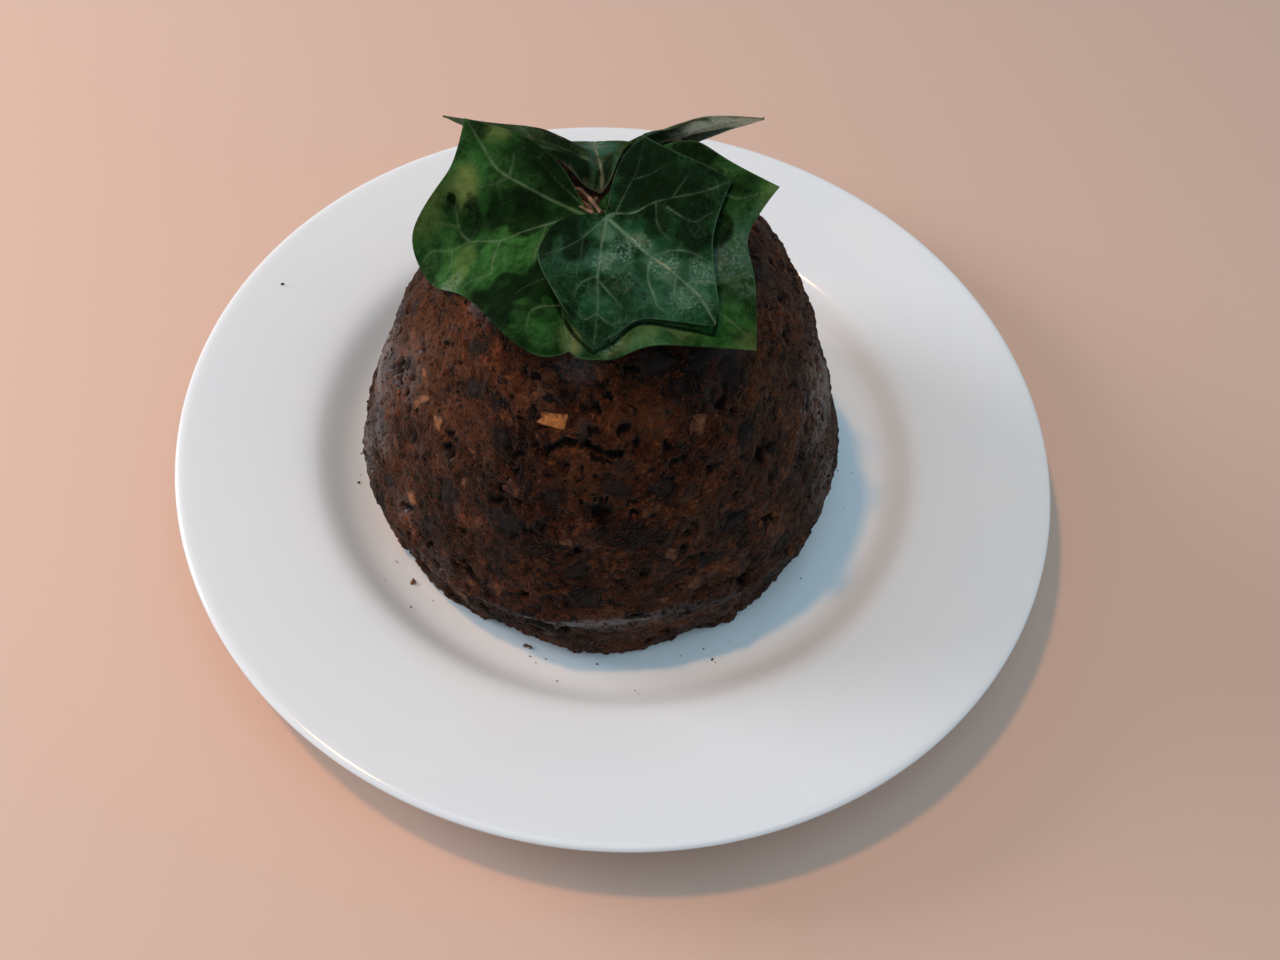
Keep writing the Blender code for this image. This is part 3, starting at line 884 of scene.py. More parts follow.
def grainMaterial():
    material, tree, shader = newMaterial("loose_crumb")
    place = objectPlace(tree)
    crumb = crumbAt(tree, place, 0.5)
    tint = remap(tree, noiseAt(tree, place, 330.0, 2.0), 0.45, 0.70, 0.0, 0.6)
    feed(tree, {"Base Color": mixColour(tree, tint, crumb["Colour"], crumbTints["grain"]),
                "Roughness": remap(tree, crumb["Grain"], 0.2, 0.9, 0.64, 0.48),
                "Specular IOR Level": 0.08}, shader)
    return material


def buildGrains():
    # loose grains of crumb in drifts, a little proud of the surface and clear of the brighter chips
    rng = random.Random(pudding["seed"] + 3)
    skin = BVHTree.FromObject(puddingBody, bpy.context.evaluated_depsgraph_get())
    bpy.ops.mesh.primitive_ico_sphere_add(subdivisions=1, radius=1.0)
    pattern = bpy.context.object
    corners = [vert.co.copy() for vert in pattern.data.vertices]
    sides = [tuple(face.vertices) for face in pattern.data.polygons]
    bpy.data.objects.remove(pattern)
    bright = [item for item in pudding["nuts"] + pudding["peel"] if item[5] >= 0.4]
    chips = [onSurface(puddingSkin, item[0], item[1])[0] for item in bright]
    clear = pudding["clearOfChips"] * mm
    verts, faces = [], []
    for turn, lift in randomPlaces(rng, pudding["grains"], [], None, *pudding["grainLift"]):
        place, normal = onSurface(skin, turn, lift)
        drift = noise.noise(place * 60.0) < rng.uniform(-0.5, 0.3)
        if drift or any((place - chip).length < clear for chip in chips):
            continue
        size = rng.uniform(*pudding["grainSize"]) * mm
        if rng.random() < 0.08:
            size *= 1.7
        along, aside, up = frameAt(normal, rng.uniform(0, 180))
        first = len(verts)
        for corner in corners:
            stretch = Vector((corner.x * 1.4, corner.y, corner.z * 0.75)) * rng.uniform(0.7, 1.2) * size
            verts.append(place - normal * size * 0.10 + along * stretch.x + aside * stretch.y
                         + up * stretch.z)
        faces.extend(tuple(first + corner for corner in side) for side in sides)
    mesh = bpy.data.meshes.new("pudding_grains")
    mesh.from_pydata(verts, [], faces)
    grains = newObject("pudding_grains", mesh)
    smoothShade(grains, 30)
    dress(grains, grainMaterial(), "pudding_crumb")


dress(puddingBody, bodyMaterial(), "pudding_crumb", "pudding")
buildRaisins(fruitPlan["raisins"])
for kindName, kindLook in chipKinds.items():
    buildChips(kindLook, fruitPlan[kindName])
buildGrains()
print("fruit, nuts, peel and grains are set in the crumb")


# ivy

ivy = {
    "rings": 5,                    # of faces between a leaf's hub and its edge in the frame
    "dropFrom": 0.3,               # m over the floor, where the rays that drape a flat blade start
    # in mm; the cutter reaches this far over and under the flat blade
    "thickness": 0.45, "pillow": 0.24, "veinSink": 0.16, "cutDepth": 20,
    "sharpCorner": 128,            # corners of the rim narrower than this, in degrees, stay sharp
    # fine veins: tries for a bud, how far a twig bows, its steps in mm, and how many close the net
    "budTries": 9000, "twigBow": 0.22, "twigStep": 0.16, "netShare": 0.6,
    "upperPale": 0.12, "tipRoom": 0.02,        # what an upper side keeps of the pale tint; mm under the top
    "coolTintAndSheen": (0.030, 0.070, 0.046, 1), "paintedShade": (0.0019, 0.0072, 0.0017, 1), "bloomAndSheen": (0.15, 0.26, 0.185, 1),
}

# the veins are (half width in mm, points as (turn, reach in mm) round the leaf's hub)
# a patch is (turn, reach, size in mm, strength); the dark ones are painted shade, the others are partly
# painted light and sheen
# under is the other leaf over a blade, and how many mm from that leaf's rim its painted shadow on the blade
# reaches
ivyLeaves = {
    "ivy_leaf_large": {
        "hub": (-13.3, -5.6, 116.0), "tilt": 0.0, "open": True, "piece": "ivy_blade_large", "weave": 0.29,
        "netSize": 4.0, "seed": 3, "under": [("ivy_leaf_front", 0.9)], "paleUnder": False,
        "veins": [
            (0.50, [(0, 0), (166, 3.4), (164, 10.1), (162, 16.7), (161, 22.4), (159, 27), (153, 33.3),
                    (149, 39.7)]),
            (0.40, [(0, 0), (193, 9.1), (196, 15.9), (199, 22.3), (191, 29.4), (190, 34.3), (187, 39.6),
                    (189, 42)]),
            (0.45, [(0, 0), (268, 12), (264, 20), (265, 28.1), (269, 35.7), (271, 38.5)]),
            (0.42, [(0, 0), (320, 12), (323, 26), (326, 43.5), (326, 48.6), (325, 53.6)]),
            (0.38, [(0, 0), (16, 10), (10, 22), (4, 32.6), (2, 36), (3, 44.5)]),
            (0.24, [(130, 2), (130, 4.2), (139, 12.3), (138, 20)]),
            (0.24, [(161, 22.4), (167, 24.8), (170, 28.6)]),
            (0.24, [(161, 22.4), (151, 23.8), (147, 25.3)]),
            (0.19, [(163, 23.6), (167, 24.5), (176, 21.9)]),
            (0.26, [(191, 29.4), (183, 32.7), (177, 34.2), (175, 38.2)]),
            (0.22, [(182, 32.8), (180, 38.5), (179, 42)]),
            (0.30, [(200, 22.4), (212, 25.9), (218, 28), (214, 32.1), (213, 34.5)]),
            (0.24, [(190, 34.3), (199, 35.5), (199, 40.1)]), (0.24, [(194, 10.6), (226, 16.5), (233, 19)]),
            (0.30, [(265, 28.1), (254, 33), (255, 38.1)]), (0.22, [(269, 35.7), (263, 39.5)]),
            (0.22, [(264, 20), (245, 26), (240, 31)]), (0.22, [(265, 26), (278, 31), (286, 37)]),
            (0.24, [(322, 22), (304, 28), (299, 34.8), (300, 39.8)]),
            (0.24, [(324, 32), (310, 35), (306, 38.5), (308, 43)]),
            (0.20, [(325, 38), (318, 41.6), (316, 44.7)]), (0.22, [(324, 34), (336, 38), (342, 42)]),
            (0.20, [(9, 24), (358, 30), (353, 35)]), (0.20, [(10, 20), (24, 24), (34, 28)]),
            (0.20, [(4, 30), (14, 33), (20, 32)]), (0.20, [(15, 12), (42, 18), (52, 20)]),
        ],
        "patches": {
            # the pale patches at turns 290 to 309 lighten a strip in the front leaf's shadow: painted light
            "pale": [(170, 33, 5.5, 0.8), (144, 32, 4.5, 0.55), (299, 38, 5, 0.35), (309, 41, 5, 0.35),
                     (290, 37.5, 4, 0.4), (271, 36, 4.5, 0.65), (2, 45, 5, 0.35), (178, 42, 6, 0.3),
                     (324, 52, 5, 0.4), (199, 31, 5, 0.35), (206, 34, 4, 0.4)],
            "fresh": [(198, 17, 9, 0.75), (212, 26, 11, 0.8), (205, 36, 9, 0.7), (168, 13, 6, 0.6),
                      (166, 32, 8, 0.6), (188, 31, 8, 0.45), (223, 20, 8, 0.5), (261, 38, 5, 0.6),
                      (272, 34, 7, 1.0), (302, 36, 11, 1.0), (322, 42, 12, 0.8), (345, 36, 10, 1.0),
                      (2, 44, 6, 0.5)],
            "coolTintAndSheen": [(283, 36, 12, 0.9), (300, 37, 12, 0.6), (322, 36, 9, 0.6), (340, 37, 11, 1.0),
                     (354, 40, 7, 1.0)],
            "paintedShade": [(175, 35.2, 2.2, 1.0), (181, 15, 9, 1.0), (179, 23, 7, 0.8), (125, 12, 13, 1.0),
                     (140, 20, 10, 0.6), (148, 36, 5, 0.5), (30, 27, 9, 1.0), (237, 29, 10, 1.0),
                     (228, 35, 7, 0.9), (250, 24, 9, 1.0), (242, 36, 8, 0.9), (0, 30, 5, 0.5),
                     (8, 37, 6, 0.5), (256, 44, 5, 0.5), (352, 32.5, 5.2, 1.0), (255, 32, 5, 0.5),
                     (183, 29, 7, 0.7)],
            "sheen": [(207, 36, 4, 0.8), (285, 37, 5, 0.5), (345, 36, 7, 0.6), (340, 44, 5, 0.4),
                      (272, 36, 4, 0.3)],
        },
        "colours": {"Deep": (0.0050, 0.0205, 0.0040, 1), "Fresh": (0.026, 0.096, 0.019, 1),
                    "Vein": (0.085, 0.135, 0.062, 1), "Pale": (0.112, 0.150, 0.040, 1)},
    },
    "ivy_leaf_front": {
        "hub": (-8.8, -8.7, 119.5), "tilt": 0.0, "open": True, "piece": "ivy_blade_front", "weave": 0.20,
        "netSize": 2.7, "seed": 5, "under": [], "paleUnder": False,
        "veins": [
            (0.36, [(0, 0), (27, 2), (9, 6.6), (16, 12.6), (13, 22), (14, 29.4)]),
            (0.24, [(0, 0), (15, 1.9), (53, 5.2), (61, 9.7), (64, 13.8), (72, 21.6)]),
            (0.42, [(0, 0), (272, 3), (270, 9.8), (271, 17.9), (273, 26.6), (273, 35.4)]),
            (0.62, [(0, 0), (317, 7.6), (318, 14.8), (321, 24.1), (321, 31.5), (318, 39.6)]),
            (0.28, [(0, 0), (240, 6), (238, 11), (232, 15.6), (225, 20.8)]),
            (0.26, [(271, 17.9), (261, 21), (259, 23.6)]), (0.24, [(273, 19.7), (281, 23.5), (285, 26.6)]),
            (0.36, [(319, 15.9), (305, 21.2), (303, 25.4), (302, 28.9), (304, 31.1)]),
            (0.30, [(319, 15.9), (334, 19.2), (338, 23.1), (338, 27.1)]),
            (0.28, [(317, 7.6), (302, 13.5), (287, 17.5)]), (0.22, [(7, 14.6), (356, 21), (1, 25.2)]),
            (0.26, [(321, 24.1), (312, 28), (310, 32)]), (0.26, [(321, 27), (329, 30), (331, 33)]),
            (0.20, [(15, 16), (24, 19), (30, 22)]), (0.20, [(14, 12), (350, 13), (340, 17)]),
            (0.18, [(238, 9), (250, 13), (254, 18)]), (0.18, [(62, 11), (50, 14), (46, 18)]),
            (0.20, [(273, 28), (268, 30), (264, 29)]), (0.20, [(273, 28), (279, 30.5), (284, 30.5)]),
        ],
        "patches": {
            "pale": [(320, 10, 3.5, 0.5), (319, 16, 4, 0.5), (320, 23, 4.5, 0.6), (318, 31, 5, 0.4),
                     (333, 30, 4.5, 0.3), (275, 6, 3.0, 0.55), (278, 13, 3.5, 0.5), (286, 5, 2.5, 0.5),
                     (268, 3, 2.5, 0.5), (272, 24, 3.5, 0.2)],
            "fresh": [(303, 24, 8, 0.75), (310, 33, 8, 0.7), (330, 30, 7, 0.8), (320, 18, 7, 0.8),
                      (276, 14, 6, 1.0), (300, 22, 7, 0.5), (274, 26, 6, 0.7), (292, 15, 5, 0.7),
                      (335, 8, 4, 0.6), (255, 5, 4, 0.6), (258, 13, 3, 0.3)],
            "coolTintAndSheen": [(300, 25, 14, 0.5), (275, 12, 8, 0.6), (240, 16, 9, 0.8), (325, 28, 10, 0.4)],
            "paintedShade": [(40, 12, 13, 1.0), (62, 16, 12, 1.0), (22, 22, 9, 1.0), (348, 22, 7, 0.7),
                     (352, 13, 6, 0.6), (205, 11, 8, 1.0), (218, 18, 6, 0.8), (240, 13, 6, 0.8),
                     (241, 22, 6, 0.5), (257, 30, 5, 0.9), (290, 23, 7, 0.5), (331, 18, 5, 0.5),
                     (4, 21, 8, 0.75), (306, 37, 4, 0.5), (272, 31, 5, 0.4), (302, 20, 4, 0.4)],
            "sheen": [(295, 12, 4.5, 0.9), (316, 31, 6, 0.55), (290, 20, 5, 0.35), (272, 14, 4, 0.6),
                      (331, 28, 5, 0.6), (319, 12, 4, 0.7), (321, 20, 5, 0.9)],
        },
        "colours": {"Deep": (0.0040, 0.0175, 0.0056, 1), "Fresh": (0.014, 0.074, 0.028, 1),
                    "Vein": (0.098, 0.165, 0.098, 1), "Pale": (0.066, 0.132, 0.076, 1)},
    },
    "ivy_leaf_back": {
        "hub": (-13.0, 14.0, 115.0), "tilt": -60.0, "open": False, "piece": "ivy_blade_back", "weave": 0.24,
        "netSize": 3.6, "seed": 8, "under": [("ivy_leaf_front", 3.4), ("ivy_leaf_large", 3.4)],
        "paleUnder": True,
        "veins": [
            (0.50, [(291, 3.9), (0, 0), (104, 13), (97, 24), (93, 33.2)]),
            (0.22, [(0, 0), (178, 12), (180, 28), (181, 41.2)]),
            (0.38, [(0, 0), (352, 12), (340, 26), (331, 44)]), (0.20, [(0, 0), (130, 14), (126, 22)]),
            (0.20, [(0, 0), (60, 14), (64, 22)]), (0.20, [(104, 13), (122, 19), (124, 24)]),
            (0.20, [(102, 16), (84, 21), (78, 25)]), (0.20, [(179, 18), (168, 23), (165, 27)]),
            (0.20, [(345, 20), (0, 24), (8, 26)]),
        ],
        "patches": {
            "pale": [(337, 38, 13, 1.0), (347, 28, 11, 1.0), (350, 20, 5, 0.5), (107, 10, 4, 0.3),
                     (178, 39, 6, 0.4)],
            "fresh": [(106, 9, 7, 1.0), (90, 22, 8, 0.8)],
            "coolTintAndSheen": [(105, 10, 7, 0.9), (95, 20, 8, 0.6)],
            "paintedShade": [(205, 9, 7, 1.0), (225, 7, 6, 1.0), (135, 7, 4, 0.6), (30, 7, 7, 1.0),
                     (300, 3, 3.5, 0.9), (168, 12, 9, 0.7), (150, 17, 8, 0.5), (50, 12, 5, 0.8),
                     (12, 14, 7, 0.9)],
            "sheen": [(340, 36, 10, 0.5), (100, 14, 7, 0.4)],
        },
        # Pale is the under side's own pale green, lightened further as painted light shining through the
        # blade
        "colours": {"Deep": (0.0150, 0.0300, 0.0060, 1), "Fresh": (0.022, 0.100, 0.062, 1),
                    "Vein": (0.160, 0.160, 0.100, 1), "Pale": (0.86, 0.80, 0.58, 1)},
    },
}


def veinPoint(turn, reach):
    return Vector((math.cos(math.radians(turn)), math.sin(math.radians(turn)), 0.0)) * reach


def smoothLine(points, steps):
    # a smooth line through the points
    line = []
    for number in range(len(points) - 1):
        here, there = points[number], points[number + 1]
        before = points[number - 1] if number else here * 2 - there
        after = points[number + 2] if number + 2 < len(points) else there * 2 - here
        for step in range(steps):
            t = step / steps
            line.append(0.5 * ((2 * here) + (there - before) * t
                               + (2 * before - 5 * here + 4 * there - after) * t * t
                               + (3 * here - before - 3 * there + after) * t * t * t))
    line.append(points[-1].copy())
    return line


def upperSkin(nodeName, leaf, chart):
    # the upper side of the frame's leaf, smoothed, in the leaf's own flat chart
    guide = copyOfNode(nodeName, nodeName + "_guide")
    guide.data.transform(chart.inverted())
    hub = chart.inverted() @ (Vector(leaf["hub"]) * mm)
    mesh = guide.data
    middle = min(mesh.vertices, key=lambda vert: (vert.co - hub).length)
    for part in (mesh.vertices, mesh.edges, mesh.polygons):
        part.foreach_set("select", [False] * len(part))
    around = [face for face in mesh.polygons if middle.index in face.vertices]
    highest = max(around, key=lambda face: face.normal.z)
    for face in around:
        face.select = face is highest or not leaf["open"]
    bpy.ops.object.mode_set(mode="EDIT")
    bpy.context.tool_settings.mesh_select_mode = (False, False, True)
    if leaf["open"]:                           # the blade is slit from its hub to its edge
        bpy.ops.mesh.faces_select_linked_flat(sharpness=math.radians(25))
    else:
        for ring in range(ivy["rings"] - 1):
            bpy.ops.mesh.select_more(use_face_step=True)
    bpy.ops.mesh.select_all(action="INVERT")
    bpy.ops.mesh.delete(type="FACE")
    bpy.ops.object.mode_set(mode="OBJECT")
    quadsFromTriangles(guide, flat=35, square=80)
    sharpen(guide)
    applyModifier(guide, "SUBSURF", levels=3, render_levels=3)
    return guide


def sharpen(guide):
    # lobe tips and notches keep their corners when the skin is smoothed
    bm = bmesh.new()
    bm.from_mesh(guide.data)
    crease = bm.verts.layers.float.new("crease_vert")
    for vert in bm.verts:
        rim = [edge.other_vert(vert).co - vert.co for edge in vert.link_edges if edge.is_boundary]
        if len(rim) == 2 and rim[0].angle(rim[1]) < math.radians(ivy["sharpCorner"]):
            vert[crease] = 1.0
    bm.to_mesh(guide.data)
    bm.free()


def rimLoop(guide):
    # the open rim of the skin as one closed loop of points
    bm = bmesh.new()
    bm.from_mesh(guide.data)
    start = next(vert for vert in bm.verts if vert.is_boundary)
    loop, here, last = [], start, None
    while True:
        loop.append(here.co.copy())
        steps = [edge for edge in here.link_edges if edge.is_boundary and edge is not last]
        last = steps[0]
        here = last.other_vert(here)
        if here is start or len(loop) > len(bm.verts):
            break
    bm.free()
    return loop


def boxOf(rim):
    low = Vector((min(p.x for p in rim), min(p.y for p in rim), 0))
    return low, Vector((max(p.x for p in rim), max(p.y for p in rim), 0))


def cutBlade(leaf, rim):
    # a fine flat grid cut to the leaf's outline
    low, high = boxOf(rim)
    low -= Vector((1, 1, 0)) * mm
    high += Vector((1, 1, 0)) * mm
    size = high - low
    bpy.ops.mesh.primitive_grid_add(x_subdivisions=round(size.x / (leaf["weave"] * mm)),
                                    y_subdivisions=round(size.y / (leaf["weave"] * mm)),
                                    size=1.0, location=(low + high) / 2)
    blade = bpy.context.object
    blade.name = leaf["piece"]
    blade.data.name = leaf["piece"]
    blade.scale = (size.x, size.y, 1.0)
    keepPlace(blade)
    cutter = bpy.data.meshes.new("leaf_cutter")
    depth = ivy["cutDepth"] * mm
    count = len(rim)
    verts = [(p.x, p.y, -depth) for p in rim] + [(p.x, p.y, depth) for p in rim]
    sides = [(i, (i + 1) % count, (i + 1) % count + count, i + count) for i in range(count)]
    cutter.from_pydata(verts, [], [tuple(range(count - 1, -1, -1)), tuple(range(count, 2 * count)), *sides])
    prism = newObject("leaf_cutter", cutter)
    editWhole(prism, bpy.ops.mesh.normals_make_consistent, inside=False)
    applyModifier(blade, "BOOLEAN", operation="INTERSECT", object=prism, solver="EXACT")
    bpy.data.objects.remove(prism)
    return blade


def growVeins(leaf, rim, trunk):
    # the fine veins: buds strewn over the blade join the nearest vein in turn, from the main veins outwards
    rng = random.Random(leaf["seed"])
    low, high = boxOf(rim)
    edges = [(rim[i - 1], rim[i]) for i in range(len(rim))]
    apart = leaf["netSize"] * mm
    buds = []
    for attempt in range(ivy["budTries"]):
        spot = Vector((rng.uniform(low.x, high.x), rng.uniform(low.y, high.y), 0))
        if any((spot - other).length < apart for other in buds):
            continue
        crossings = [a.x + (spot.y - a.y) / (b.y - a.y) * (b.x - a.x) > spot.x
                     for a, b in edges if (a.y > spot.y) != (b.y > spot.y)]
        if sum(crossings) % 2:
            buds.append(spot)
    joined = [point for point, half in trunk[::3]]
    trunkFinder = fillFinder(joined)
    buds = [bud for bud in buds if trunkFinder.find(bud)[2] > apart * 0.45]
    buds.sort(key=lambda bud: trunkFinder.find(bud)[2])
    twigs = []

    def draw(start, end):
        side = Vector((start.y - end.y, end.x - start.x, 0)) * rng.uniform(-ivy["twigBow"], ivy["twigBow"])
        steps = max(2, int((end - start).length / (ivy["twigStep"] * mm)))
        for step in range(steps + 1):
            share = step / steps
            twigs.append(start.lerp(end, share) + side * 4 * share * (1 - share))

    for bud in buds:
        near = sorted(((bud - point).length, index) for index, point in enumerate(joined))[:6]
        nearest = joined[near[0][1]]
        draw(bud, nearest)
        across = [index for far, index in near[1:]
                  if far < apart * 1.5 and (joined[index] - nearest).length > apart]
        if across and rng.random() < ivy["netShare"]:
            draw(bud, joined[across[0]])
        joined.append(bud)
    return twigs


def fillFinder(points, flat=True):
    finder = KDTree(max(1, len(points)))
    for index, point in enumerate(points):
        finder.insert((point.x, point.y, 0.0 if flat else point.z), index)
    finder.balance()
    return finder


def nearestOnRim(rim, index, flat):
    # the nearest point of the rim's line, next to its nearest corner
    best = None
    for other in (index - 1, (index + 1) % len(rim)):
        start, end = rim[index], rim[other]
        step = Vector((end.x - start.x, end.y - start.y, 0.0))
        offset = Vector((flat.x - start.x, flat.y - start.y, 0.0))
        share = min(1.0, max(0.0, offset.dot(step) / max(step.length_squared, 1e-12)))
        point = start.lerp(end, share)
        far = math.hypot(point.x - flat.x, point.y - flat.y)
        if best is None or far < best[0]:
            best = (far, point)
    return best[1]


# what each blade is painted with and the socket that it goes to
bladeValues = {"vein": "Main Vein", "twig": "Twig", "veinFar": "Vein Far", "margin": "Margin",
               "pale": "Pale Patch", "fresh": "Fresh And Lit Patch", "coolTintAndSheen": "Cool Tint And Sheen Patch", "paintedShade": "Painted Shade Patch",
               "sheen": "Bloom And Sheen"}
# the rims of the leaves built so far, whose painted shadow darkens the ones that lie under them
rimsAround = {}


def buildLeaf(nodeName, leaf):
    chart = Matrix.Rotation(math.radians(leaf["tilt"]), 4, "X")
    guide = upperSkin(nodeName, leaf, chart)
    rim = rimLoop(guide)
    blade = cutBlade(leaf, rim)
    print("  ", leaf["piece"], "rim", len(rim), "blade faces", len(blade.data.polygons))
    hub = chart.inverted() @ (Vector(leaf["hub"]) * mm)
    flatHub = Vector((hub.x, hub.y, 0.0))
    skin = BVHTree.FromObject(guide, bpy.context.evaluated_depsgraph_get())
    rimFinder = fillFinder(rim)

    def drape(flat):
        place = skin.ray_cast(Vector((flat.x, flat.y, ivy["dropFrom"])), Vector((0, 0, -1)))[0]
        if place is None:                      # just off the edge of the skin
            place = nearestOnRim(rim, rimFinder.find(Vector((flat.x, flat.y, 0.0)))[1], flat)
        return place

    # veins as a cloud of points, each with the half width it has there
    trunk = []
    for half, turns in leaf["veins"]:
        line = smoothLine([veinPoint(turn, reach) * mm + flatHub for turn, reach in turns], 24)
        for number, point in enumerate(line):
            trunk.append((point, half * (1.0 - 0.62 * number / len(line))))
    twigs = [drape(point) for point in growVeins(leaf, rim, trunk)]
    veinFinder = fillFinder([drape(point) for point, half in trunk], flat=False)
    twigFinder = fillFinder(twigs, flat=False)
    sides = zip(rim, rim[1:] + rim[:1])
    edgePoints = [start.lerp(end, share) for start, end in sides for share in (0.0, 0.33, 0.66)]
    edgeFinder = fillFinder(edgePoints, flat=False)
    rimsAround[nodeName] = [chart @ point for point in edgePoints]
    shades = [(fillFinder(rimsAround[other]), reach) for other, reach in leaf["under"]]
    mesh = blade.data
    values = {name: [] for name in bladeValues}
    lifts = []
    for vert in mesh.vertices:
        flat = Vector((vert.co.x, vert.co.y, 0.0))
        vert.co = drape(flat)
        nearRim = edgeFinder.find(vert.co)[2] / mm
        point, index, far = veinFinder.find(vert.co)
        half = trunk[index][1] * (1.0 + 0.45 * noise.noise(point * 500.0)) * mm
        vein = 1.0 - easeBetween(0.45, 1.35, far / half)
        pillow = 1.0 - math.exp(-((far / mm / 2.2) ** 2))
        lift = ivy["pillow"] * pillow - ivy["veinSink"] * vein
        lifts.append((lift * easeBetween(0.0, 2.0, nearRim), nearRim))
        values["vein"].append(vein * (0.2 + min(1.0, half / mm / 0.36) * 0.8))
        values["twig"].append(1.0 - easeBetween(0.06, 0.30, twigFinder.find(vert.co)[2] / mm))
        values["veinFar"].append(min(1.0, far / mm / 4.0))
        values["margin"].append(1.0 - easeBetween(0.05, 0.45, nearRim))
        for tint, patches in leaf["patches"].items():
            amount = 0.0
            for turn, reach, size, strength in patches:
                gap = (flat - flatHub - veinPoint(turn, reach) * mm).length / (size * mm)
                gap += 0.35 * noise.noise(flat * 240.0)
                amount = max(amount, strength * (1 - easeBetween(0.35, 1.0, gap)))
            values[tint].append(amount)
        # the leaves over this one cast a painted shadow near their rims
        place = chart @ vert.co
        for finder, reach in shades:
            near = finder.find((place.x, place.y, 0.0))[2] / (reach * mm)
            values["paintedShade"][-1] = max(values["paintedShade"][-1], 0.95 * (1 - easeBetween(0.2, 1.0, near)))
    mesh.update()
    # the relief follows the draped blade: sunken veins, pillows between them and a faint unevenness
    normals = [vert.normal.copy() for vert in mesh.vertices]
    pairs = zip(values["twig"], normals)
    values["twig"] = [twig * easeBetween(0.45, 0.75, abs(normal.z)) for twig, normal in pairs]
    for name, numbers in values.items():
        paintValues(blade, name, numbers)
    for vert, normal, (lift, nearRim) in zip(mesh.vertices, normals, lifts):
        if normal.z < 0:
            normal = -normal
        sway = noise.noise(vert.co * 130.0) * 0.22 + noise.noise(vert.co * 420.0) * 0.05
        vert.co = vert.co + normal * (lift + sway * easeBetween(0, 3, nearRim)) * mm
    bpy.data.objects.remove(guide)
    applyModifier(blade, "SOLIDIFY", thickness=ivy["thickness"] * mm, offset=-1.0)
    blade.data.transform(chart)
    if leaf["paleUnder"]:                      # only the under side is pale
        pale = mesh.attributes["pale"].data
        for index in [vert.index for vert in mesh.vertices if vert.normal.z > 0]:
            pale[index].value *= ivy["upperPale"]
    for vert in mesh.vertices:                 # the tips stay inside the object's height
        vert.co.z = min(vert.co.z, cadHigh[2] - ivy["tipRoom"] * mm)
    smoothShade(blade, 70)
    return blade


def bladeGroup():
    # green blade of ivy: tinted between a deep and a fresh green, with a net of fine veins
    group, given, outside = newGroup(
        "ivyBlade",
        {"Where": "Vector", "Deep": "Color", "Fresh": "Color", "Vein": "Color", "Pale": "Color",
         **{socket: "Float" for socket in bladeValues.values()}},
        {"Colour": "Color", "Gloss": "Float", "Relief": "Float"})
    place = given["Where"]
    tint = noiseAt(group, place, 60.0, 4.0, 0.55, 0.3)
    cloud = noiseAt(group, place, 170.0, 4.0, 0.6, 0.4)
    mottle = noiseAt(group, place, 420.0, 5.0, 0.65)
    tone = plus(group, times(group, tint, 0.40), times(group, cloud, 0.35))
    tone = remap(group, plus(group, tone, times(group, mottle, 0.25)), 0.42, 0.60, 0.0, 0.42)
    # brighter green patches: partly the blade's own lighter green, partly painted light
    fresh = times(group, given["Fresh And Lit Patch"], remap(group, mottle, 0.35, 0.62, 0.42, 0.95))
    tone = smaller(group, plus(group, tone, fresh), 1.0)
    colour = mixColour(group, tone, given["Deep"], given["Fresh"])
    # teal tint: partly the blade's own blue-green, partly a painted sheen of reflected sky
    coolTintAndSheen = times(group, given["Cool Tint And Sheen Patch"], times(group, tone, 0.9))
    colour = mixColour(group, coolTintAndSheen, colour, ivy["coolTintAndSheen"])
    # pale patches: the blade's own paler green, in places lifted as painted light
    pale = times(group, given["Pale Patch"], remap(group, mottle, 0.3, 0.6, 0.55, 1.0))
    pale = plus(group, pale, times(group, doMath(group, "POWER", given["Pale Patch"], 4.0), 0.4))
    colour = mixColour(group, smaller(group, pale, 1.0), colour, given["Pale"])
    # painted shade: the dark patches have crisp, mottled edges
    ragged = times(group, minus(group, mottle, 0.5), 1.7)
    paintedShade = remap(group, plus(group, given["Painted Shade Patch"], ragged), 0.22, 0.80)
    paintedShade = times(group, paintedShade, remap(group, cloud, 0.3, 0.65, 1.0, 0.82))
    colour = mixColour(group, paintedShade, colour, ivy["paintedShade"])
    clear = minus(group, 1.0, times(group, given["Painted Shade Patch"], 0.85))
    # fine veins fade in and out over the blade, with a lace of the finest between them
    fade = times(group, remap(group, noiseAt(group, place, 95.0, 2.0), 0.38, 0.66, 0.03, 0.18), clear)
    lace = cellsAt(group, swayed(group, place, 800.0, 0.0010), 720.0, "DISTANCE_TO_EDGE")["Distance"]
    lace = times(group, remap(group, lace, 0.16, 0.02), remap(group, mottle, 0.42, 0.62))
    lace = times(group, lace, remap(group, given["Bloom And Sheen"], 0.0, 1.0, 0.17, 0.50))
    halo = times(group, remap(group, given["Vein Far"], 0.24, 0.0, 0.0, 0.10), clear)
    vein = times(group, given["Main Vein"], remap(group, cloud, 0.35, 0.6, 0.60, 0.95))
    vein = times(group, vein, remap(group, clear, 0.0, 1.0, 0.6, 1.0))
    rim = times(group, given["Margin"], remap(group, tint, 0.4, 0.6, 0.05, 0.32))
    for line in (times(group, given["Twig"], fade), times(group, lace, clear), halo, vein, rim):
        colour = mixColour(group, line, colour, given["Vein"])
    # pale specks: partly the waxy bloom, partly painted sheen
    speck = remap(group, noiseAt(group, place, 1150.0, 4.0, 0.7), 0.50, 0.62, 0.0, 0.75)
    speck = times(group, times(group, speck, given["Bloom And Sheen"]), clear)
    gloss = remap(group, mottle, 0.3, 0.7, 0.50, 0.64)
    relief = times(group, given["Twig"], -0.5)
    relief = plus(group, relief, times(group, noiseAt(group, place, 1700.0, 3.0), 0.30))
    feed(group, {"Colour": mixColour(group, speck, colour, ivy["bloomAndSheen"]),
                 "Gloss": plus(group, gloss, times(group, given["Main Vein"], 0.10)),
                 "Relief": plus(group, relief, times(group, cloud, 0.9))}, outside)
    return group


ivyBlade = bladeGroup()


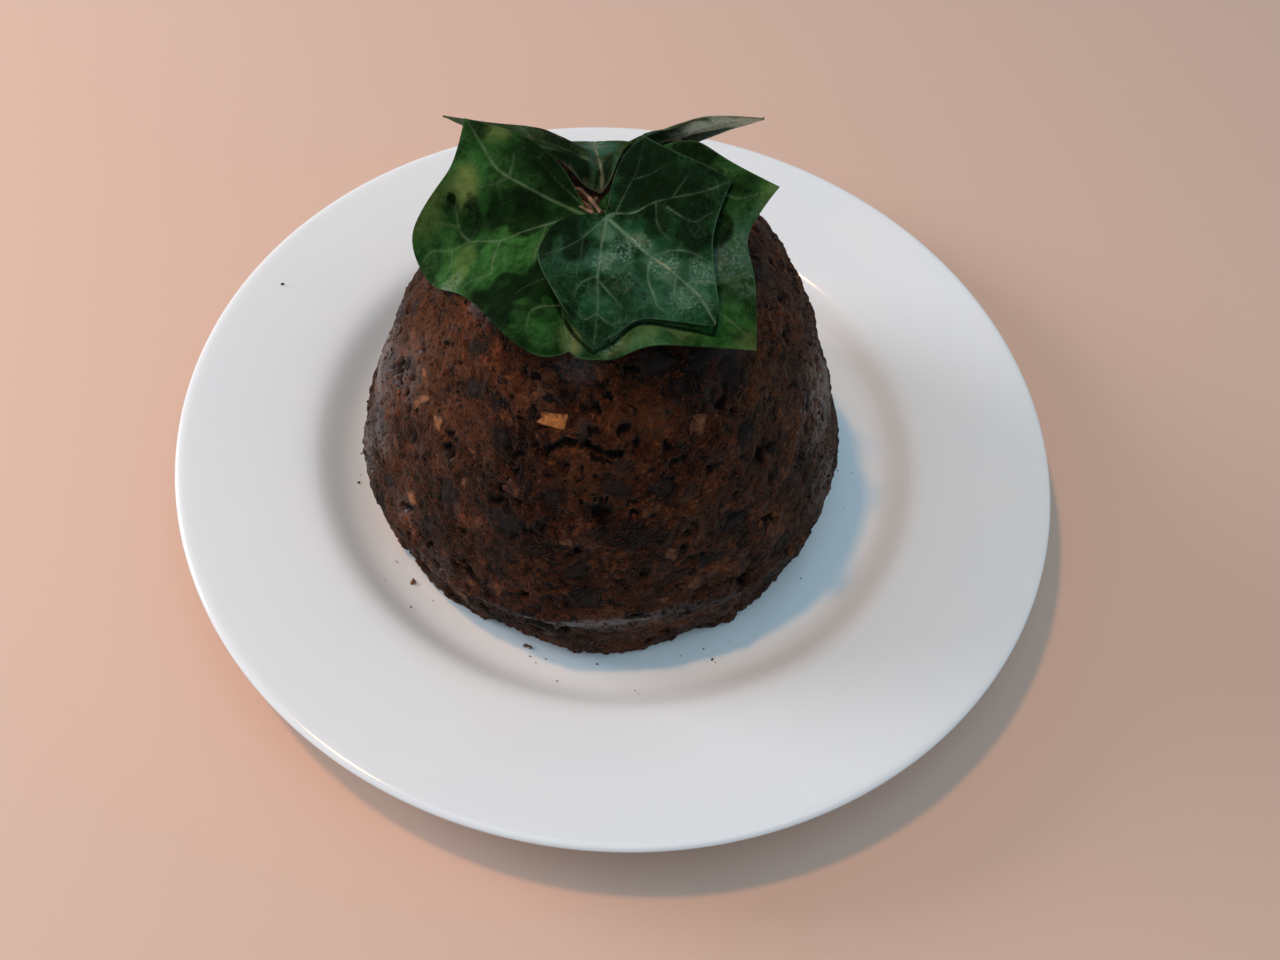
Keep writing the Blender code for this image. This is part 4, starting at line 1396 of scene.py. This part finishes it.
def bladeMaterial(name, colours):
    material, tree, shader = newMaterial(name)
    place = objectPlace(tree)
    look = {socket: readValue(tree, value) for value, socket in bladeValues.items()}
    blade = addNode(tree, "Group", {"Where": place, **colours, **look}, node_tree=ivyBlade).outputs
    # a waxy sheen lies on parts of the blade
    patch = times(tree, look["Bloom And Sheen"], remap(tree, noiseAt(tree, place, 500.0, 4.0, 0.6), 0.40, 0.62))
    patch = times(tree, patch, minus(tree, 0.7, times(tree, look["Painted Shade Patch"], 0.65)))
    feed(tree, {"Base Color": blade["Colour"], "Roughness": blade["Gloss"], "Specular IOR Level": 0.012,
                "Coat Weight": patch, "Coat Roughness": 0.34,
                "Normal": bumpFrom(tree, blade["Relief"], 0.30 * mm, 0.8)}, shader)
    return material


for nodeName in ("ivy_leaf_front", "ivy_leaf_large", "ivy_leaf_back"):
    leafLook = ivyLeaves[nodeName]
    leafGreen = bladeMaterial(leafLook["piece"].replace("blade", "green"), leafLook["colours"])
    dress(buildLeaf(nodeName, leafLook), leafGreen, "leaf_green", nodeName)
print("three ivy leaves are veined and draped")


# stem

stem = {
    "grain": 0.20, "slim": 0.14,
    # (x, y, z, radius) in mm of the knots, and of the thin and the thick end of the large leaf's short stalk
    "knots": [(-13.3, -5.6, 115.6, 0.8), (-8.8, -8.7, 119.0, 0.7), (-11.2, 6.2, 114.4, 0.7)],
    "spur": ((-15.8, -3.9, 117.2, 0.42), (-12.4, -8.0, 119.8, 0.75)),
    "dark": (0.085, 0.048, 0.023, 1), "pale": (0.19, 0.105, 0.060, 1), "lenticel": (0.070, 0.028, 0.016, 1),
}


def stemMaterial():
    material, tree, shader = newMaterial("stem_rind")
    place = objectPlace(tree)
    tone = noiseAt(tree, place, 300.0, 4.0)
    colour = mixColour(tree, remap(tree, tone, 0.35, 0.65), stem["dark"], stem["pale"])
    lenticel = remap(tree, cellsAt(tree, place, 900.0)["Distance"], 0.22, 0.1, 0.0, 0.6)
    feed(tree, {"Base Color": mixColour(tree, lenticel, colour, stem["lenticel"]),
                "Roughness": remap(tree, tone, 0.3, 0.7, 0.38, 0.52), "Specular IOR Level": 0.15,
                "Normal": bumpFrom(tree, noiseAt(tree, place, 1500.0, 3.0), 0.15 * mm, 0.7)}, shader)
    return material


def buildStem():
    thin, thick = stem["spur"]
    spur = [tuple(a + (b - a) * step / 10 for a, b in zip(thin, thick)) for step in range(11)]
    knots = []
    for x, y, z, radius in [*stem["knots"], *spur]:
        bpy.ops.mesh.primitive_uv_sphere_add(segments=20, ring_count=12, radius=radius * mm,
                                             location=(x * mm, y * mm, z * mm))
        knot = bpy.context.object
        knot.scale = (1.0, 1.0, 0.75)
        knots.append(knot)
    piece = joinAll([copyOfNode("ivy_stem", "ivy_twig"), *knots], "ivy_twig")
    applyModifier(piece, "REMESH", mode="VOXEL", voxel_size=stem["grain"] * mm)
    applyModifier(piece, "SMOOTH", factor=0.5, iterations=4)
    for vert in piece.data.vertices:
        vert.co += vert.normal * (noise.noise(vert.co * 900.0) * 0.12 - stem["slim"]) * mm
    smoothShade(piece)
    dress(piece, stemMaterial(), "stem_bark", "ivy_stem")


buildStem()
print("stem is grown together")


# crumbs fallen on the plate

plateCrumbs = {
    # (x, y, size in mm, tone) of the ones that show
    "big": [(-54.7, -59.1, 1.3, 0.9), (-54.9, -58.0, 0.7, 0.8), (-18.6, -74.6, 1.2, 0.8),
            (-17.2, -74.9, 0.9, 0.9), (-78.3, -27.5, 0.7, 0.0), (-117.5, 37.1, 0.8, 0.1),
            (35.3, -71.3, 0.7, 0.5)],
    "small": 46, "seed": 31, "ring": 72.5,     # mm from the pudding's axis
}


def fallenMaterial():
    material, tree, shader = newMaterial("fallen_crumb")
    crumb = crumbAt(tree, objectPlace(tree), 0.7)
    pale = times(tree, readValue(tree, "bright"), 0.85)
    feed(tree, {"Base Color": mixColour(tree, pale, crumb["Colour"], crumbTints["fallen"]),
                "Roughness": remap(tree, crumb["Grain"], 0.2, 0.9, 0.62, 0.48),
                "Normal": bumpFrom(tree, crumb["Grain"], 0.2 * mm, 0.7)}, shader)
    return material


def buildPlateCrumbs():
    rng = random.Random(plateCrumbs["seed"])
    ground = BVHTree.FromObject(plateGlazed, bpy.context.evaluated_depsgraph_get())
    spots = list(plateCrumbs["big"])
    axisX, axisY = pudding["axis"]
    for number in range(plateCrumbs["small"]):  # fine ones lie close to the foot
        turn = rng.uniform(0, 2 * math.pi)
        far = plateCrumbs["ring"] + abs(rng.gauss(0, 5.0))
        spots.append((axisX + far * math.cos(turn), axisY + far * math.sin(turn),
                      rng.uniform(0.22, 0.5), rng.uniform(0.1, 1.0)))
    bpy.ops.mesh.primitive_ico_sphere_add(subdivisions=3, radius=0.5)
    pattern = bpy.context.object
    made, tones = [], []
    for x, y, size, tone in spots:
        place = ground.ray_cast(Vector((x, y, 60)) * mm, Vector((0, 0, -1)))[0]
        crumb = newObject("crumb", pattern.data.copy())
        shift = Vector((x, y, 0))
        spin = Matrix.Rotation(rng.uniform(0, 6.28), 3, "Z")
        for vert in crumb.data.vertices:
            lump = 0.5 * noise.noise(vert.co * 3.0 + shift) + 0.3 * noise.noise(vert.co * 7.0 + shift)
            co = vert.co * (1.0 + lump)
            vert.co = spin @ Vector((co.x * 1.3, co.y * 0.85, co.z * 0.7)) * size * mm
        low = min(vert.co.z for vert in crumb.data.vertices)
        crumb.data.transform(Matrix.Translation(place + Vector((0, 0, 0.02 * mm - low))))
        tones.extend([tone] * len(crumb.data.vertices))
        made.append(crumb)
    bpy.data.objects.remove(pattern)
    crumbs = joinAll(made, "plate_crumbs")
    paintValues(crumbs, "bright", tones)
    smoothShade(crumbs)
    dress(crumbs, fallenMaterial(), "pudding_crumb")


buildPlateCrumbs()
print("a few crumbs lie on the plate")
